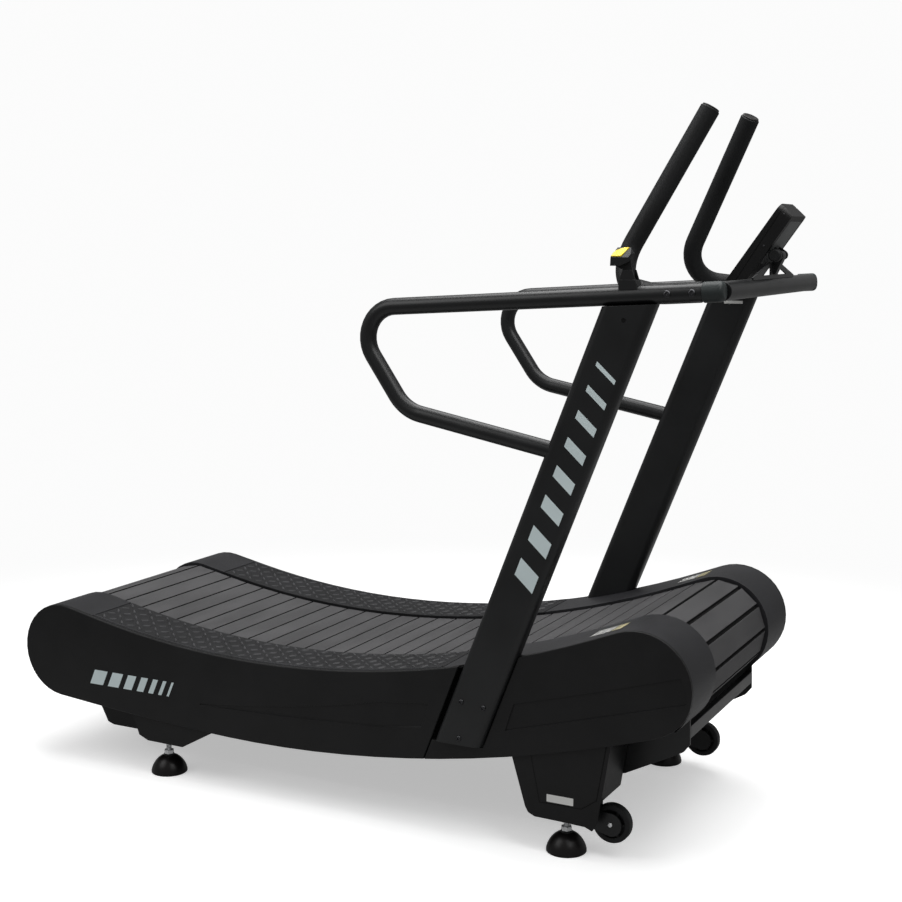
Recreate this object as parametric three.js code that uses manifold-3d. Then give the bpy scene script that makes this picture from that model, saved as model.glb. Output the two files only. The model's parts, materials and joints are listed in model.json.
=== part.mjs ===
// Curved manual treadmill: a slatted belt on a dished deck, two leaning uprights, looped
// handrails, push handles, a small console, a magnetic brake with its lever, levelling feet
// and transport wheels. Millimetres, +X forward, +Y to the user's left, +Z up.
// Inside this file distances along the machine are measured from its rear end; the finished
// group is shifted so that its origin is on the floor below the middle of the machine.
import * as THREE from 'three';
import { mergeVertices } from 'three/addons/utils/BufferGeometryUtils.js';
import Module from 'manifold-3d';

const wasm = await Module();
wasm.setup();

// ---------------------------------------------------------------- driving dimensions
const OVERALL_LENGTH = 2028.6;
const GAP = 0.3; // between pieces that touch
const FAR = 500; // half width of the blocks used for cutting, wider than the machine

// Deck: two drum housings joined by a dished top and a shallow belly.
const REAR = { x: 128, z: 307, r: 128 };
const FRONT = { x: 1796.5, z: 434, r: 130 };
const DISH = { x: 772, z: 357, r: 2500 };
const BELLY = { x: 762, z: 143.5 };
const COVER_Y = 394; // outer face of the side covers
const COVER_WALL = 7.5;
const POCKET_DEPTH = 3; // shallow recesses in the covers' outer faces
const TREAD_Y = 220; // inner edge of the foot rails
const SKIN = 5; // thickness of foot rails and end caps
const REAR_SEAM_X = 231; // rear end cap to foot rail
const FRONT_SEAM_X = 1305; // foot rail to front end cap
const SEAM_GAP = 3.5;

// Belt.
const SLAT_HALF_LENGTH = 215;
const SLAT_RISE = 9; // slat top above the belt's pitch line
const SLAT_DROP = 7; // slat top below the cover's top
const SLAT_PITCH = 60;
const SLAT_GAP = 5.5;
const WEB_UNDER = 2.5; // web below the pitch line
const WEB_OVER = 1; // web above the pitch line
const RETURN_SAG_RADIUS = 9000;
const PITCH_OFFSET = SLAT_DROP + SLAT_RISE;

// Frame.
const PLATE_Y = [247, 253];
const TUBE = 60; // square cross tubes
const TUBE_WALL = 3;
const REAR_TUBE = { x: 480, z: 296 };
const FRONT_TUBE = { x: 1395, z: 348 };
const SHAFT_R = 12.5;

// Uprights.
const UPRIGHT = { x: 1353, z: 237, tilt: 21.5 * Math.PI / 180, depth: 115, width: 50, y: 385 };
const UPRIGHT_CORNER = 18;
const POST_WALL = 3;

// Handrails and front bar.
const RAIL_Y = 388;
const RAIL_R = 20;
const TUBE_SKIN = 2.5; // wall of the round tubes
const RAIL_TOP_REAR = [1046, 1262.7];
const RAIL_LOW = [1207.4, 1027.6];
const RAIL_LOW_END = [1600, 953];
const RAIL_BENDS = [75, 100];
const RAIL_FRONT = [1963.5, 1317.7];
const BAR_R = 21;
const SLEEVE_R = 22.5; // corner sleeve over a handrail's front end
const SLEEVE_X = [1931, 1977];
const SLEEVE_END = 4; // thickness of its closed front end
const SLEEVE_FIT = 0.3;

// Push handles.
const GRIP_R = 23;
const GRIP_WALL = 4; // tube and rubber sleeve together
const GRIP_BENDS = [90, 90];
const GRIP_LEG_Y = RAIL_Y - RAIL_R - GRIP_R - GAP;
const GRIP_TIP = [1863.5, 156, 1720.7];

// Legs, feet and wheels.
const LEG_Y = [256, 385];
const LEG_WALL = 4;
const FOOT_Y = 344;
const FOOT_X = { front: 1612, rear: 448 };
const FOOT_R = 48;
const FOOT_HEIGHT = 51;
const STUD_R = 7;
const WHEEL = { x: 1724, z: 85.8, r: 46.5, y: 335, width: 25 };

// Console, measured along its face (u) and into its depth (v) from the lower front corner.
const CONSOLE = { x: 1874, z: 1329, tilt: 54.7 * Math.PI / 180, length: 218, depth: 40, half: 62 };
const CONSOLE_PIVOT = [1988, 1390];
const LEVER_PIVOT = [1763, 1352];

// ---------------------------------------------------------------- materials
function finish(color, roughness, metalness) {
  return new THREE.MeshStandardMaterial({ color, roughness, metalness });
}
const coverPlastic = () => finish(0x131314, 0.45, 0);
const treadPlastic = () => finish(0x232327, 0.6, 0);
const blackPaint = () => finish(0x1a1b1c, 0.4, 0.1);
const slatRubber = () => finish(0x343334, 0.75, 0);
const softRubber = () => finish(0x1c1d20, 0.7, 0);
const zinc = () => finish(0xb9bdc0, 0.3, 0.9);
const steel = () => finish(0x8d9094, 0.35, 0.9);
const greyPlastic = () => finish(0x3a4143, 0.5, 0);

// ---------------------------------------------------------------- scene helpers
const machine = new THREE.Group();
const assembly = new THREE.Group();
assembly.position.x = -OVERALL_LENGTH / 2;
machine.add(assembly);

function add(name, geometry, material) {
  const mesh = new THREE.Mesh(geometry, material);
  mesh.name = name;
  assembly.add(mesh);
  return mesh;
}

const SIDES = [['right', -1], ['left', 1]];

// A closed outline of [x, z] points, extruded across the machine from y0 to y1.
function slab(outline, y0, y1, holes = []) {
  const shape = new THREE.Shape(outline.map(([x, z]) => new THREE.Vector2(x, z)));
  for (const hole of holes) {
    shape.holes.push(new THREE.Path(hole.map(([x, z]) => new THREE.Vector2(x, z))));
  }
  const low = Math.min(y0, y1);
  const high = Math.max(y0, y1);
  const geometry = new THREE.ExtrudeGeometry(shape, { depth: high - low, bevelEnabled: false });
  geometry.rotateX(Math.PI / 2);
  geometry.translate(0, high, 0);
  return geometry;
}

function box(x0, x1, y0, y1, z0, z1) {
  return slab([[x0, z0], [x1, z0], [x1, z1], [x0, z1]], y0, y1);
}

// A turned piece about the Y axis through (x, z): profile of [radius, y] points.
function turned(profile, x, z, segments = 32) {
  const points = profile.map(([r, y]) => new THREE.Vector2(r, y));
  const geometry = new THREE.LatheGeometry(points, segments);
  geometry.translate(x, 0, z);
  return geometry;
}

// A turned piece standing on the Z axis through (x, y): profile of [radius, z] points.
function standing(profile, x, y, segments = 24) {
  const points = profile.map(([r, z]) => new THREE.Vector2(r, z));
  const geometry = new THREE.LatheGeometry(points, segments);
  geometry.rotateX(Math.PI / 2);
  geometry.translate(x, y, 0);
  return geometry;
}

function ring(cx, cz, r, n = 24) {
  const points = [];
  for (let i = 0; i < n; i++) {
    const a = (2 * Math.PI * i) / n;
    points.push([cx + r * Math.cos(a), cz + r * Math.sin(a)]);
  }
  return points;
}

// Points on an arc; angles are measured from straight up, positive towards the front.
function arc(cx, cz, r, from, to, steps) {
  const points = [];
  for (let i = 0; i <= steps; i++) {
    const a = from + ((to - from) * i) / steps;
    points.push([cx + r * Math.sin(a), cz + r * Math.cos(a)]);
  }
  return points;
}

function bezier(a, b, c, steps) {
  const curve = new THREE.QuadraticBezierCurve(
    new THREE.Vector2(...a), new THREE.Vector2(...b), new THREE.Vector2(...c));
  return curve.getPoints(steps).map((p) => [p.x, p.y]);
}

function roundedRect(cx, cz, w, h, r, steps = 4) {
  const points = [];
  const corners = [[1, 1, 0], [-1, 1, 1], [-1, -1, 2], [1, -1, 3]];
  for (const [sx, sz, quarter] of corners) {
    for (let i = 0; i <= steps; i++) {
      const a = (quarter + i / steps) * Math.PI / 2;
      const px = cx + sx * (w / 2 - r) + r * Math.cos(a);
      const pz = cz + sz * (h / 2 - r) + r * Math.sin(a);
      points.push([px, pz]);
    }
  }
  return points;
}

// ---------------------------------------------------------------- boolean helpers
function solid(geometry) {
  const plain = geometry.clone();
  plain.deleteAttribute('normal');
  plain.deleteAttribute('uv');
  const merged = mergeVertices(plain, 1e-4);
  return new wasm.Manifold(new wasm.Mesh({
    numProp: 3,
    vertProperties: Float32Array.from(merged.attributes.position.array),
    triVerts: Uint32Array.from(merged.index.array),
  }));
}

function geometryOf(body) {
  const mesh = body.getMesh();
  const geometry = new THREE.BufferGeometry();
  geometry.setAttribute('position', new THREE.BufferAttribute(mesh.vertProperties, 3));
  geometry.setIndex(new THREE.BufferAttribute(mesh.triVerts, 1));
  return geometry;
}

function joined(...geometries) {
  return geometries.map(solid).reduce((whole, next) => whole.add(next));
}

function cut(base, ...tools) {
  const start = base instanceof THREE.BufferGeometry ? solid(base) : base;
  const rest = tools.map((t) => (t instanceof THREE.BufferGeometry ? solid(t) : t));
  return rest.reduce((whole, tool) => whole.subtract(tool), start);
}

// ---------------------------------------------------------------- tubes along bent paths
// A path of straight runs and round bends that gives one step per straight and a few per bend.
class BentPath extends THREE.Curve {
  constructor(corners, radii, stepsPerBend = 5) {
    super();
    this.stations = [];
    const p = corners.map((c) => new THREE.Vector3(...c));
    const leave = (i) => p[i + 1].clone().sub(p[i]).normalize();
    this.stations.push([p[0], leave(0)]);
    for (let i = 1; i < p.length - 1; i++) {
      this.addBend(p[i], leave(i - 1), leave(i), radii[i - 1], stepsPerBend);
    }
    this.stations.push([p[p.length - 1], leave(p.length - 2)]);
  }

  addBend(corner, into, out, radius, steps) {
    const turn = into.angleTo(out);
    const reach = radius * Math.tan(turn / 2);
    const start = corner.clone().addScaledVector(into, -reach);
    const side = out.clone().addScaledVector(into, -out.dot(into)).normalize();
    for (let i = 0; i <= steps; i++) {
      const a = (turn * i) / steps;
      const point = start.clone()
        .addScaledVector(into, radius * Math.sin(a))
        .addScaledVector(side, radius * (1 - Math.cos(a)));
      const tangent = into.clone().multiplyScalar(Math.cos(a)).addScaledVector(side, Math.sin(a));
      this.stations.push([point, tangent.normalize()]);
    }
  }

  get steps() {
    return this.stations.length - 1;
  }

  station(u) {
    return this.stations[Math.round(u * this.steps)];
  }

  getPointAt(u) {
    return this.station(u)[0].clone();
  }

  getTangentAt(u) {
    return this.station(u)[1].clone();
  }
}

function pipe(corners, radii, outer, inner, sides = 14, stepsPerBend = 5) {
  const path = new BentPath(corners, radii, stepsPerBend);
  const toVectors = (r) => ring(0, 0, r, sides).map(([x, z]) => new THREE.Vector2(x, z));
  const shape = new THREE.Shape(toVectors(outer));
  if (inner > 0) {
    shape.holes.push(new THREE.Path(toVectors(inner)));
  }
  const options = { steps: path.steps, extrudePath: path, bevelEnabled: false };
  return new THREE.ExtrudeGeometry(shape, options);
}

// ---------------------------------------------------------------- deck profile
const DISH_CENTRE = { x: DISH.x, z: DISH.z + DISH.r };

// Tilt from straight up of the straight run that touches a drum housing and the dish.
function tangentTilt(drum) {
  const dx = DISH_CENTRE.x - drum.x;
  const dz = DISH_CENTRE.z - drum.z;
  const reach = Math.hypot(dx, dz);
  const lean = Math.atan2(dx, dz);
  const open = Math.acos(Math.min(1, (drum.r + DISH.r) / reach));
  return lean - Math.sign(lean) * open;
}
const REAR_TILT = tangentTilt(REAR);
const FRONT_TILT = tangentTilt(FRONT);

function dishPoint(angle, depth) {
  const r = DISH.r + depth;
  return [DISH_CENTRE.x - r * Math.sin(angle), DISH_CENTRE.z - r * Math.cos(angle)];
}

// Top of the deck from rear drum to front drum, sunk by depth.
function topLine(depth, steps = 22) {
  const points = [];
  for (let i = 0; i <= steps; i++) {
    points.push(dishPoint(REAR_TILT + ((FRONT_TILT - REAR_TILT) * i) / steps, depth));
  }
  return points;
}

// Point where the straight run leaves a drum housing, sunk by depth.
function leavePoint(drum, tilt, depth) {
  return [drum.x + (drum.r - depth) * Math.sin(tilt), drum.z + (drum.r - depth) * Math.cos(tilt)];
}

// Height of the deck top at a distance from the rear end, sunk by depth.
function topHeight(x, depth) {
  const rearRun = leavePoint(REAR, REAR_TILT, depth);
  const frontRun = leavePoint(FRONT, FRONT_TILT, depth);
  if (x < dishPoint(REAR_TILT, depth)[0]) {
    return rearRun[1] - (x - rearRun[0]) * Math.tan(REAR_TILT);
  }
  if (x > dishPoint(FRONT_TILT, depth)[0]) {
    return frontRun[1] - (x - frontRun[0]) * Math.tan(FRONT_TILT);
  }
  return DISH_CENTRE.z - Math.sqrt((DISH.r + depth) ** 2 - (x - DISH_CENTRE.x) ** 2);
}

// Part of the deck top between two distances from the rear end, sunk by depth.
function topStretch(x0, x1, depth, steps) {
  const points = [];
  for (let i = 0; i <= steps; i++) {
    const x = x0 + ((x1 - x0) * i) / steps;
    points.push([x, topHeight(x, depth)]);
  }
  return points;
}

const FRONT_NOSE_END = 1.83; // where the round nose meets the flatter lower corner, radians
const FRONT_UNDER = [1836, 320];
const REAR_UNDER_TILT = -Math.PI + 0.085;

function bellyLine() {
  const rearEnd = arc(REAR.x, REAR.z, REAR.r, REAR_UNDER_TILT, REAR_UNDER_TILT, 1)[0];
  const noseEnd = arc(FRONT.x, FRONT.z, FRONT.r, FRONT_NOSE_END, FRONT_NOSE_END, 1)[0];
  const corner = bezier(noseEnd, [1907, 343.6], FRONT_UNDER, 5);
  const rise = bezier(FRONT_UNDER, [1300, BELLY.z], [BELLY.x, BELLY.z], 12);
  const back = bezier([BELLY.x, BELLY.z], [541.8, BELLY.z], rearEnd, 6);
  return [...corner.slice(1), ...rise.slice(1), ...back.slice(1)];
}

function sideOutline() {
  const nose = arc(FRONT.x, FRONT.z, FRONT.r, FRONT_TILT, FRONT_NOSE_END, 14);
  const tail = arc(REAR.x, REAR.z, REAR.r, REAR_UNDER_TILT, REAR_TILT, 18);
  return [...tail, ...topLine(0), ...nose, ...bellyLine().slice(0, -1)];
}

// Height of the belly above the floor at a distance from the rear end.
function bellyHeight(x) {
  const line = bellyLine();
  for (let i = 0; i < line.length - 1; i++) {
    const [x1, z1] = line[i];
    const [x0, z0] = line[i + 1];
    if (x <= x1 && x >= x0) {
      return z0 + ((z1 - z0) * (x - x0)) / (x1 - x0);
    }
  }
  return BELLY.z;
}

// ---------------------------------------------------------------- uprights
const UP_SIN = Math.sin(UPRIGHT.tilt);
const UP_COS = Math.cos(UPRIGHT.tilt);

// Centre line of an upright at a height.
function uprightX(z) {
  return UPRIGHT.x + (z - UPRIGHT.z) * (UP_SIN / UP_COS);
}

function uprightBar(side, grow, wall) {
  const outline = roundedRect(0, 0, UPRIGHT.depth + 2 * grow, UPRIGHT.width + 2 * grow,
    UPRIGHT_CORNER + grow);
  const shape = new THREE.Shape(outline.map(([a, b]) => new THREE.Vector2(a, b)));
  if (wall > 0) {
    const inside = roundedRect(0, 0, UPRIGHT.depth - 2 * wall, UPRIGHT.width - 2 * wall,
      UPRIGHT_CORNER - wall);
    shape.holes.push(new THREE.Path(inside.map(([a, b]) => new THREE.Vector2(a, b))));
  }
  const length = 1300;
  const geometry = new THREE.ExtrudeGeometry(shape, { depth: length, bevelEnabled: false });
  geometry.translate(0, 0, -100);
  geometry.rotateY(UPRIGHT.tilt);
  geometry.translate(UPRIGHT.x, side * UPRIGHT.y, UPRIGHT.z);
  return geometry;
}

function railHeight(x) {
  const [x0, z0] = RAIL_TOP_REAR;
  const [x1, z1] = RAIL_FRONT;
  return z0 + ((x - x0) * (z1 - z0)) / (x1 - x0);
}

// The upright is cut level at its foot and along the handrail's underside at its head.
function makeUprightSolid(side) {
  const below = box(1100, 1900, -FAR, FAR, -100, UPRIGHT.z);
  const seat = RAIL_R + GAP;
  const above = slab([
    [1300, railHeight(1300) - seat], [2100, railHeight(2100) - seat], [2100, 2200], [1300, 2200],
  ], -FAR, FAR);
  return cut(uprightBar(side, 0, POST_WALL), below, above);
}

// ---------------------------------------------------------------- covers
const SPLIT_GAP = 3;
const POST_CLEARANCE = 14; // open slot behind the upright's foot

// Everything ahead of (or behind) the line of the upright's rear face, moved by shift.
function halfSpace(ahead, shift) {
  const low = uprightX(0) - UPRIGHT.depth / 2 / UP_COS + shift;
  const high = uprightX(700) - UPRIGHT.depth / 2 / UP_COS + shift;
  const far = ahead ? 2300 : -300;
  return slab([[low, 0], [far, 0], [far, 700], [high, 700]], -FAR, FAR);
}

// Shallow pocket pressed into the side face: an outline with rounded ends.
function pocket(outline, side, depth) {
  return slab(outline, side * (COVER_Y - depth), side * (COVER_Y + 10));
}

function rearPocket() {
  const top = bezier([592, 223], [900, 250], [1137, 307], 8);
  const under = bezier([1136, 244], [860, 225], [592, 220], 6);
  return [...top, [1270, 321], [1250, 261], ...under];
}

function frontPocket() {
  const top = bezier([1496, 354], [1660, 398], [1900, 470], 6);
  const nose = bezier([1905, 462], [1916, 436], [1914, 411], 4);
  const under = bezier([1910, 410], [1660, 338], [1474, 286], 6);
  return [...top, ...nose, ...under];
}

function makeRearSideCover(side) {
  const panel = slab(sideOutline(), side * (COVER_Y - COVER_WALL), side * COVER_Y);
  const behind = solid(panel).intersect(solid(halfSpace(false, -POST_CLEARANCE)));
  return geometryOf(cut(behind, pocket(rearPocket(), side, POCKET_DEPTH)));
}

function makeFrontSideCover(side) {
  const panel = slab(sideOutline(), side * (COVER_Y - COVER_WALL), side * COVER_Y);
  const ahead = solid(panel).intersect(solid(halfSpace(true, SPLIT_GAP - POST_CLEARANCE)));
  const foot = UPRIGHT.z - SPLIT_GAP;
  const slot = cut(uprightBar(side, SPLIT_GAP, 0), box(1000, 1900, -FAR, FAR, 0, foot));
  const behindSlot = slab([
    [uprightX(UPRIGHT.z) - 90, foot], [uprightX(UPRIGHT.z), foot],
    [uprightX(600), 600], [uprightX(600) - 90, 600],
  ], -FAR, FAR);
  return geometryOf(cut(ahead, slot, behindSlot, pocket(frontPocket(), side, POCKET_DEPTH)));
}

// A skin across the top of the deck with a lip that hangs down beside the slats' ends.
function skinWithLip(outer, inner, lip, side) {
  const skin = slab([...outer, ...inner.slice().reverse()],
    side * TREAD_Y, side * (COVER_Y - COVER_WALL - GAP));
  const fence = slab([...outer, ...lip.slice().reverse()], side * TREAD_Y, side * (TREAD_Y + 3));
  return solid(skin).add(solid(fence));
}

const LIP_DEPTH = 26;
const REAR_CAP_START = -Math.PI + 0.25; // where the rear end cap starts under the drum, radians
const FRONT_CAP_END = 2.39; // where the front end cap stops under the drum, radians

function makeFootRail(side) {
  const stretch = (depth) => topStretch(REAR_SEAM_X + SEAM_GAP, FRONT_SEAM_X - SEAM_GAP, depth, 20);
  return geometryOf(skinWithLip(stretch(0), stretch(SKIN), stretch(LIP_DEPTH), side));
}

function makeRearEndCap(side) {
  const around = (depth) => [
    ...arc(REAR.x, REAR.z, REAR.r - depth, REAR_CAP_START, REAR_TILT, 16),
    [REAR_SEAM_X, topHeight(REAR_SEAM_X, depth)],
  ];
  return geometryOf(skinWithLip(around(0), around(SKIN), around(LIP_DEPTH), side));
}

function makeFrontEndCap(side) {
  const around = (depth) => [
    ...topStretch(FRONT_SEAM_X, dishPoint(FRONT_TILT, depth)[0], depth, 6),
    ...arc(FRONT.x, FRONT.z, FRONT.r - depth, FRONT_TILT, FRONT_CAP_END, 18),
  ];
  const cap = skinWithLip(around(0), around(SKIN), around(LIP_DEPTH), side);
  return geometryOf(cut(cap, uprightBar(side, SPLIT_GAP, 0)));
}

for (const [name, side] of SIDES) {
  add(`rear_side_cover_${name}`, makeRearSideCover(side), coverPlastic());
  add(`front_side_cover_${name}`, makeFrontSideCover(side), coverPlastic());
  add(`foot_rail_${name}`, makeFootRail(side), treadPlastic());
  add(`rear_end_cap_${name}`, makeRearEndCap(side), treadPlastic());
  add(`front_end_cap_${name}`, makeFrontEndCap(side), treadPlastic());
}

// ---------------------------------------------------------------- belt
// Dense points along the belt's pitch line, clockwise from under the rear drum.
function pitchLine() {
  const rearR = REAR.r - PITCH_OFFSET;
  const frontR = FRONT.r - PITCH_OFFSET;
  const sag = sagCentre(rearR, frontR);
  const rearUnder = Math.atan2(REAR.x - sag.x, REAR.z - sag.z);
  const frontUnder = Math.atan2(FRONT.x - sag.x, FRONT.z - sag.z);
  const turn = 2 * Math.PI;
  const frontLeave = frontUnder < 0 ? frontUnder + turn : frontUnder;
  return [
    ...arc(REAR.x, REAR.z, rearR, rearUnder > 0 ? rearUnder - turn : rearUnder, REAR_TILT, 120),
    ...topLine(PITCH_OFFSET, 300),
    ...arc(FRONT.x, FRONT.z, frontR, FRONT_TILT, frontLeave, 120),
    ...arc(sag.x, sag.z, RETURN_SAG_RADIUS, frontUnder, rearUnder > 0 ? rearUnder : rearUnder + turn, 200),
  ];
}

// Centre of the wide arc in which the return run hangs between the two drums.
function sagCentre(rearR, frontR) {
  const a = RETURN_SAG_RADIUS - rearR;
  const b = RETURN_SAG_RADIUS - frontR;
  const dx = FRONT.x - REAR.x;
  const dz = FRONT.z - REAR.z;
  const d = Math.hypot(dx, dz);
  const along = (a * a - b * b + d * d) / (2 * d);
  const up = Math.sqrt(a * a - along * along);
  return {
    x: REAR.x + (along * dx - up * dz) / d,
    z: REAR.z + (along * dz + up * dx) / d,
  };
}

// Returns a function from distance along a closed line to a point on it, and its length.
function measured(line) {
  const loop = [...line, line[0]];
  const at = [0];
  for (let i = 1; i < loop.length; i++) {
    const step = Math.hypot(loop[i][0] - loop[i - 1][0], loop[i][1] - loop[i - 1][1]);
    at.push(at[i - 1] + step);
  }
  const length = at[at.length - 1];
  const pointAt = (s) => {
    const i = Math.max(1, at.findIndex((v) => v >= s));
    const t = (s - at[i - 1]) / Math.max(1e-9, at[i] - at[i - 1]);
    return [0, 1].map((k) => loop[i - 1][k] + t * (loop[i][k] - loop[i - 1][k]));
  };
  return { length, pointAt };
}

const SLAT_CORNERS = 6;

// Cross-section of one slat, round from the web's underside: web, slat top, web again.
function slatCorners(a, b) {
  const chord = Math.hypot(b[0] - a[0], b[1] - a[1]);
  const normal = [-(b[1] - a[1]) / chord, (b[0] - a[0]) / chord];
  const out = (p, h) => [p[0] + normal[0] * h, p[1] + normal[1] * h];
  return [
    out(a, -WEB_UNDER), out(a, WEB_OVER), out(a, SLAT_RISE),
    out(b, SLAT_RISE), out(b, WEB_OVER), out(b, -WEB_UNDER),
  ];
}

// Flat slats on a thin web: a toothed outside and a smooth inside. Corner k of the whole
// section is vertex 2k on the right edge of the belt and 2k + 1 on the left edge.
function makeBelt() {
  const { length, pointAt } = measured(pitchLine());
  const count = Math.round(length / SLAT_PITCH);
  const pitch = length / count;
  const half = (pitch - SLAT_GAP) / 2;
  const vertices = [];
  const index = [];
  const quad = (p, q, r, t) => index.push(p, q, r, p, r, t);
  const across = (p, q) => quad(2 * p, 2 * q, 2 * q + 1, 2 * p + 1);
  const ends = (p, q, r, t) => {
    quad(2 * p, 2 * q, 2 * r, 2 * t);
    quad(2 * t + 1, 2 * r + 1, 2 * q + 1, 2 * p + 1);
  };
  for (let i = 0; i < count; i++) {
    const middle = (i + 0.5) * pitch;
    for (const [x, z] of slatCorners(pointAt(middle - half), pointAt(middle + half))) {
      vertices.push(x, -SLAT_HALF_LENGTH, z, x, SLAT_HALF_LENGTH, z);
    }
    const corner = (k) => SLAT_CORNERS * i + k;
    const [under, web, top, farTop, farWeb, farUnder] = [0, 1, 2, 3, 4, 5].map(corner);
    const nextUnder = SLAT_CORNERS * ((i + 1) % count);
    ends(under, farUnder, farWeb, web);
    ends(web, farWeb, farTop, top);
    ends(farUnder, nextUnder, nextUnder + 1, farWeb);
    const edges = [
      [web, top], [top, farTop], [farTop, farWeb], [farWeb, nextUnder + 1],
      [nextUnder, farUnder], [farUnder, under],
    ];
    edges.forEach((edge) => across(...edge));
  }
  const geometry = new THREE.BufferGeometry();
  geometry.setAttribute('position', new THREE.Float32BufferAttribute(vertices, 3));
  geometry.setIndex(index);
  return geometry;
}

add('slat_belt', makeBelt(), slatRubber());

// ---------------------------------------------------------------- rollers and bearings
const DRUM_WALL = 5;
const DRUM_HALF = 200;
const SHAFT_END = 276;
const BRAKE = { y: 300, r: 95, thickness: 8 };

// A drum: a tube on a central web, turned in one piece with its shaft.
function makeRoller(drum, leftEnd) {
  const outer = drum.r - PITCH_OFFSET - 6;
  const inner = outer - DRUM_WALL;
  return turned([
    [0, -SHAFT_END], [SHAFT_R, -SHAFT_END], [SHAFT_R, -DRUM_WALL], [inner, -DRUM_WALL],
    [inner, -DRUM_HALF], [outer, -DRUM_HALF], [outer, DRUM_HALF], [inner, DRUM_HALF],
    [inner, DRUM_WALL], [SHAFT_R, DRUM_WALL], [SHAFT_R, leftEnd], [0, leftEnd],
  ], drum.x, drum.z, 36);
}

function makeBearing(drum, side) {
  const block = roundedRect(drum.x, drum.z, 62, 62, 16, 3);
  const inner = side * (PLATE_Y[1] + GAP);
  return slab(block, inner, inner + side * 19, [ring(drum.x, drum.z, SHAFT_R + 0.5)]);
}

add('front_roller', makeRoller(FRONT, 312), steel());
add('rear_roller', makeRoller(REAR, SHAFT_END), steel());
for (const [name, side] of SIDES) {
  add(`front_bearing_${name}`, makeBearing(FRONT, side), steel());
  add(`rear_bearing_${name}`, makeBearing(REAR, side), steel());
}

// ---------------------------------------------------------------- magnetic brake
const ARM_PIVOT = [1668, 392];

function makeBrakeDisc() {
  const y0 = BRAKE.y - BRAKE.thickness / 2;
  const y1 = BRAKE.y + BRAKE.thickness / 2;
  const bore = SHAFT_R + GAP;
  return turned([
    [bore, y0 - 12], [28, y0 - 12], [28, y0], [BRAKE.r, y0], [BRAKE.r, y1], [bore, y1],
    [bore, y0 - 12],
  ], FRONT.x, FRONT.z, 48);
}

// Two magnet carriers that straddle the disc's rear edge, on a pin through the side frame.
function makeMagnetArm() {
  const [px, pz] = ARM_PIVOT;
  const cheek = [
    [px - 14, pz - 12], [px + 14, pz - 14], [px + 62, pz + 12], [px + 62, pz + 52],
    [px + 26, pz + 52], [px - 14, pz + 12],
  ];
  const near = BRAKE.y - BRAKE.thickness / 2 - 4;
  const far = BRAKE.y + BRAKE.thickness / 2 + 4;
  const inner = slab(cheek, near - 6, near);
  const outer = slab(cheek, far, far + 6);
  const bridge = slab([[px - 12, pz - 10], [px + 12, pz - 10], [px + 12, pz + 10], [px - 12, pz + 10]],
    near - 3, far + 3);
  const pin = slab(ring(px, pz, 5, 16), PLATE_Y[0] - 6, near - 3);
  return geometryOf(joined(inner, outer, bridge, pin));
}

add('brake_disc', makeBrakeDisc(), steel());
add('magnet_arm', makeMagnetArm(), blackPaint());

// ---------------------------------------------------------------- frame
const BELLY_CLEAR = 6;
const CROSSBAR_X = [1862, 1878.5];
const CROSSBAR_Z = [285, 315];

function squareAround({ x, z }, size) {
  const h = size / 2;
  return [[x - h, z - h], [x + h, z - h], [x + h, z + h], [x - h, z + h]];
}

// A side frame follows the deck just inside the skins and drops at the front to the crossbar.
function makeSideFrame(side) {
  const sunk = SKIN + 1.2;
  const belly = [];
  for (let x = 1430; x > 150; x -= 120) {
    belly.push([x, bellyHeight(x) + BELLY_CLEAR]);
  }
  const outline = [
    ...arc(REAR.x, REAR.z, REAR.r - sunk, REAR_CAP_START, REAR_TILT, 12),
    ...topLine(sunk, 16),
    ...arc(FRONT.x, FRONT.z, FRONT.r - sunk, FRONT_TILT, FRONT_CAP_END + 0.04, 14),
    [CROSSBAR_X[1] + 0.5, 272], [1864, 252.5], [1838, 237.5],
    [1722, 178], [1560, 138], [1478, 138],
    ...belly,
  ];
  const pinHole = side > 0 ? [ring(...ARM_PIVOT, 5.5, 16)] : [];
  return slab(outline, side * PLATE_Y[0], side * PLATE_Y[1], [
    ring(REAR.x, REAR.z, SHAFT_R + 3), ring(FRONT.x, FRONT.z, SHAFT_R + 3),
    squareAround(FRONT_TUBE, TUBE + 2 * GAP), ...pinHole,
  ]);
}

function makeCrossTube(place, half) {
  return slab(squareAround(place, TUBE), -half, half, [squareAround(place, TUBE - 2 * TUBE_WALL)]);
}

// A curved track under each end of the slats.
function makeGuideRail(side) {
  const top = topStretch(250, 1640, PITCH_OFFSET + 5, 20);
  const under = topStretch(250, 1640, PITCH_OFFSET + 27, 20);
  return slab([...top, ...under.reverse()], side * 178, side * 204);
}

// A shallow tray across the underside between the rear legs.
function makeRearCrossbar() {
  const top = (x) => bellyHeight(x) + BELLY_CLEAR - GAP;
  const lower = [[165, 150], [181, 128], [202, 88], [222, 82], [345, 82]];
  const outer = [...lower, [345, top(345)], [255, top(255)], [165, top(165)]];
  const inner = [[172, 150], [187, 131], [206, 94], [225, 87], [340, 87], [340, 220], [172, 220]];
  return geometryOf(cut(slab(outer, -300, 300), slab(inner, -295, 295)));
}

for (const [name, side] of SIDES) {
  add(`side_frame_${name}`, makeSideFrame(side), blackPaint());
  add(`guide_rail_${name}`, makeGuideRail(side), steel());
}
add('cross_tube_rear', makeCrossTube(REAR_TUBE, PLATE_Y[0] - GAP), blackPaint());
add('cross_tube_front', makeCrossTube(FRONT_TUBE, UPRIGHT.y - UPRIGHT.width / 2 - GAP), blackPaint());
const betweenPlates = PLATE_Y[0] - GAP;
add('front_crossbar', box(...CROSSBAR_X, -betweenPlates, betweenPlates, ...CROSSBAR_Z), blackPaint());
add('rear_crossbar', makeRearCrossbar(), coverPlastic());

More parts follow.
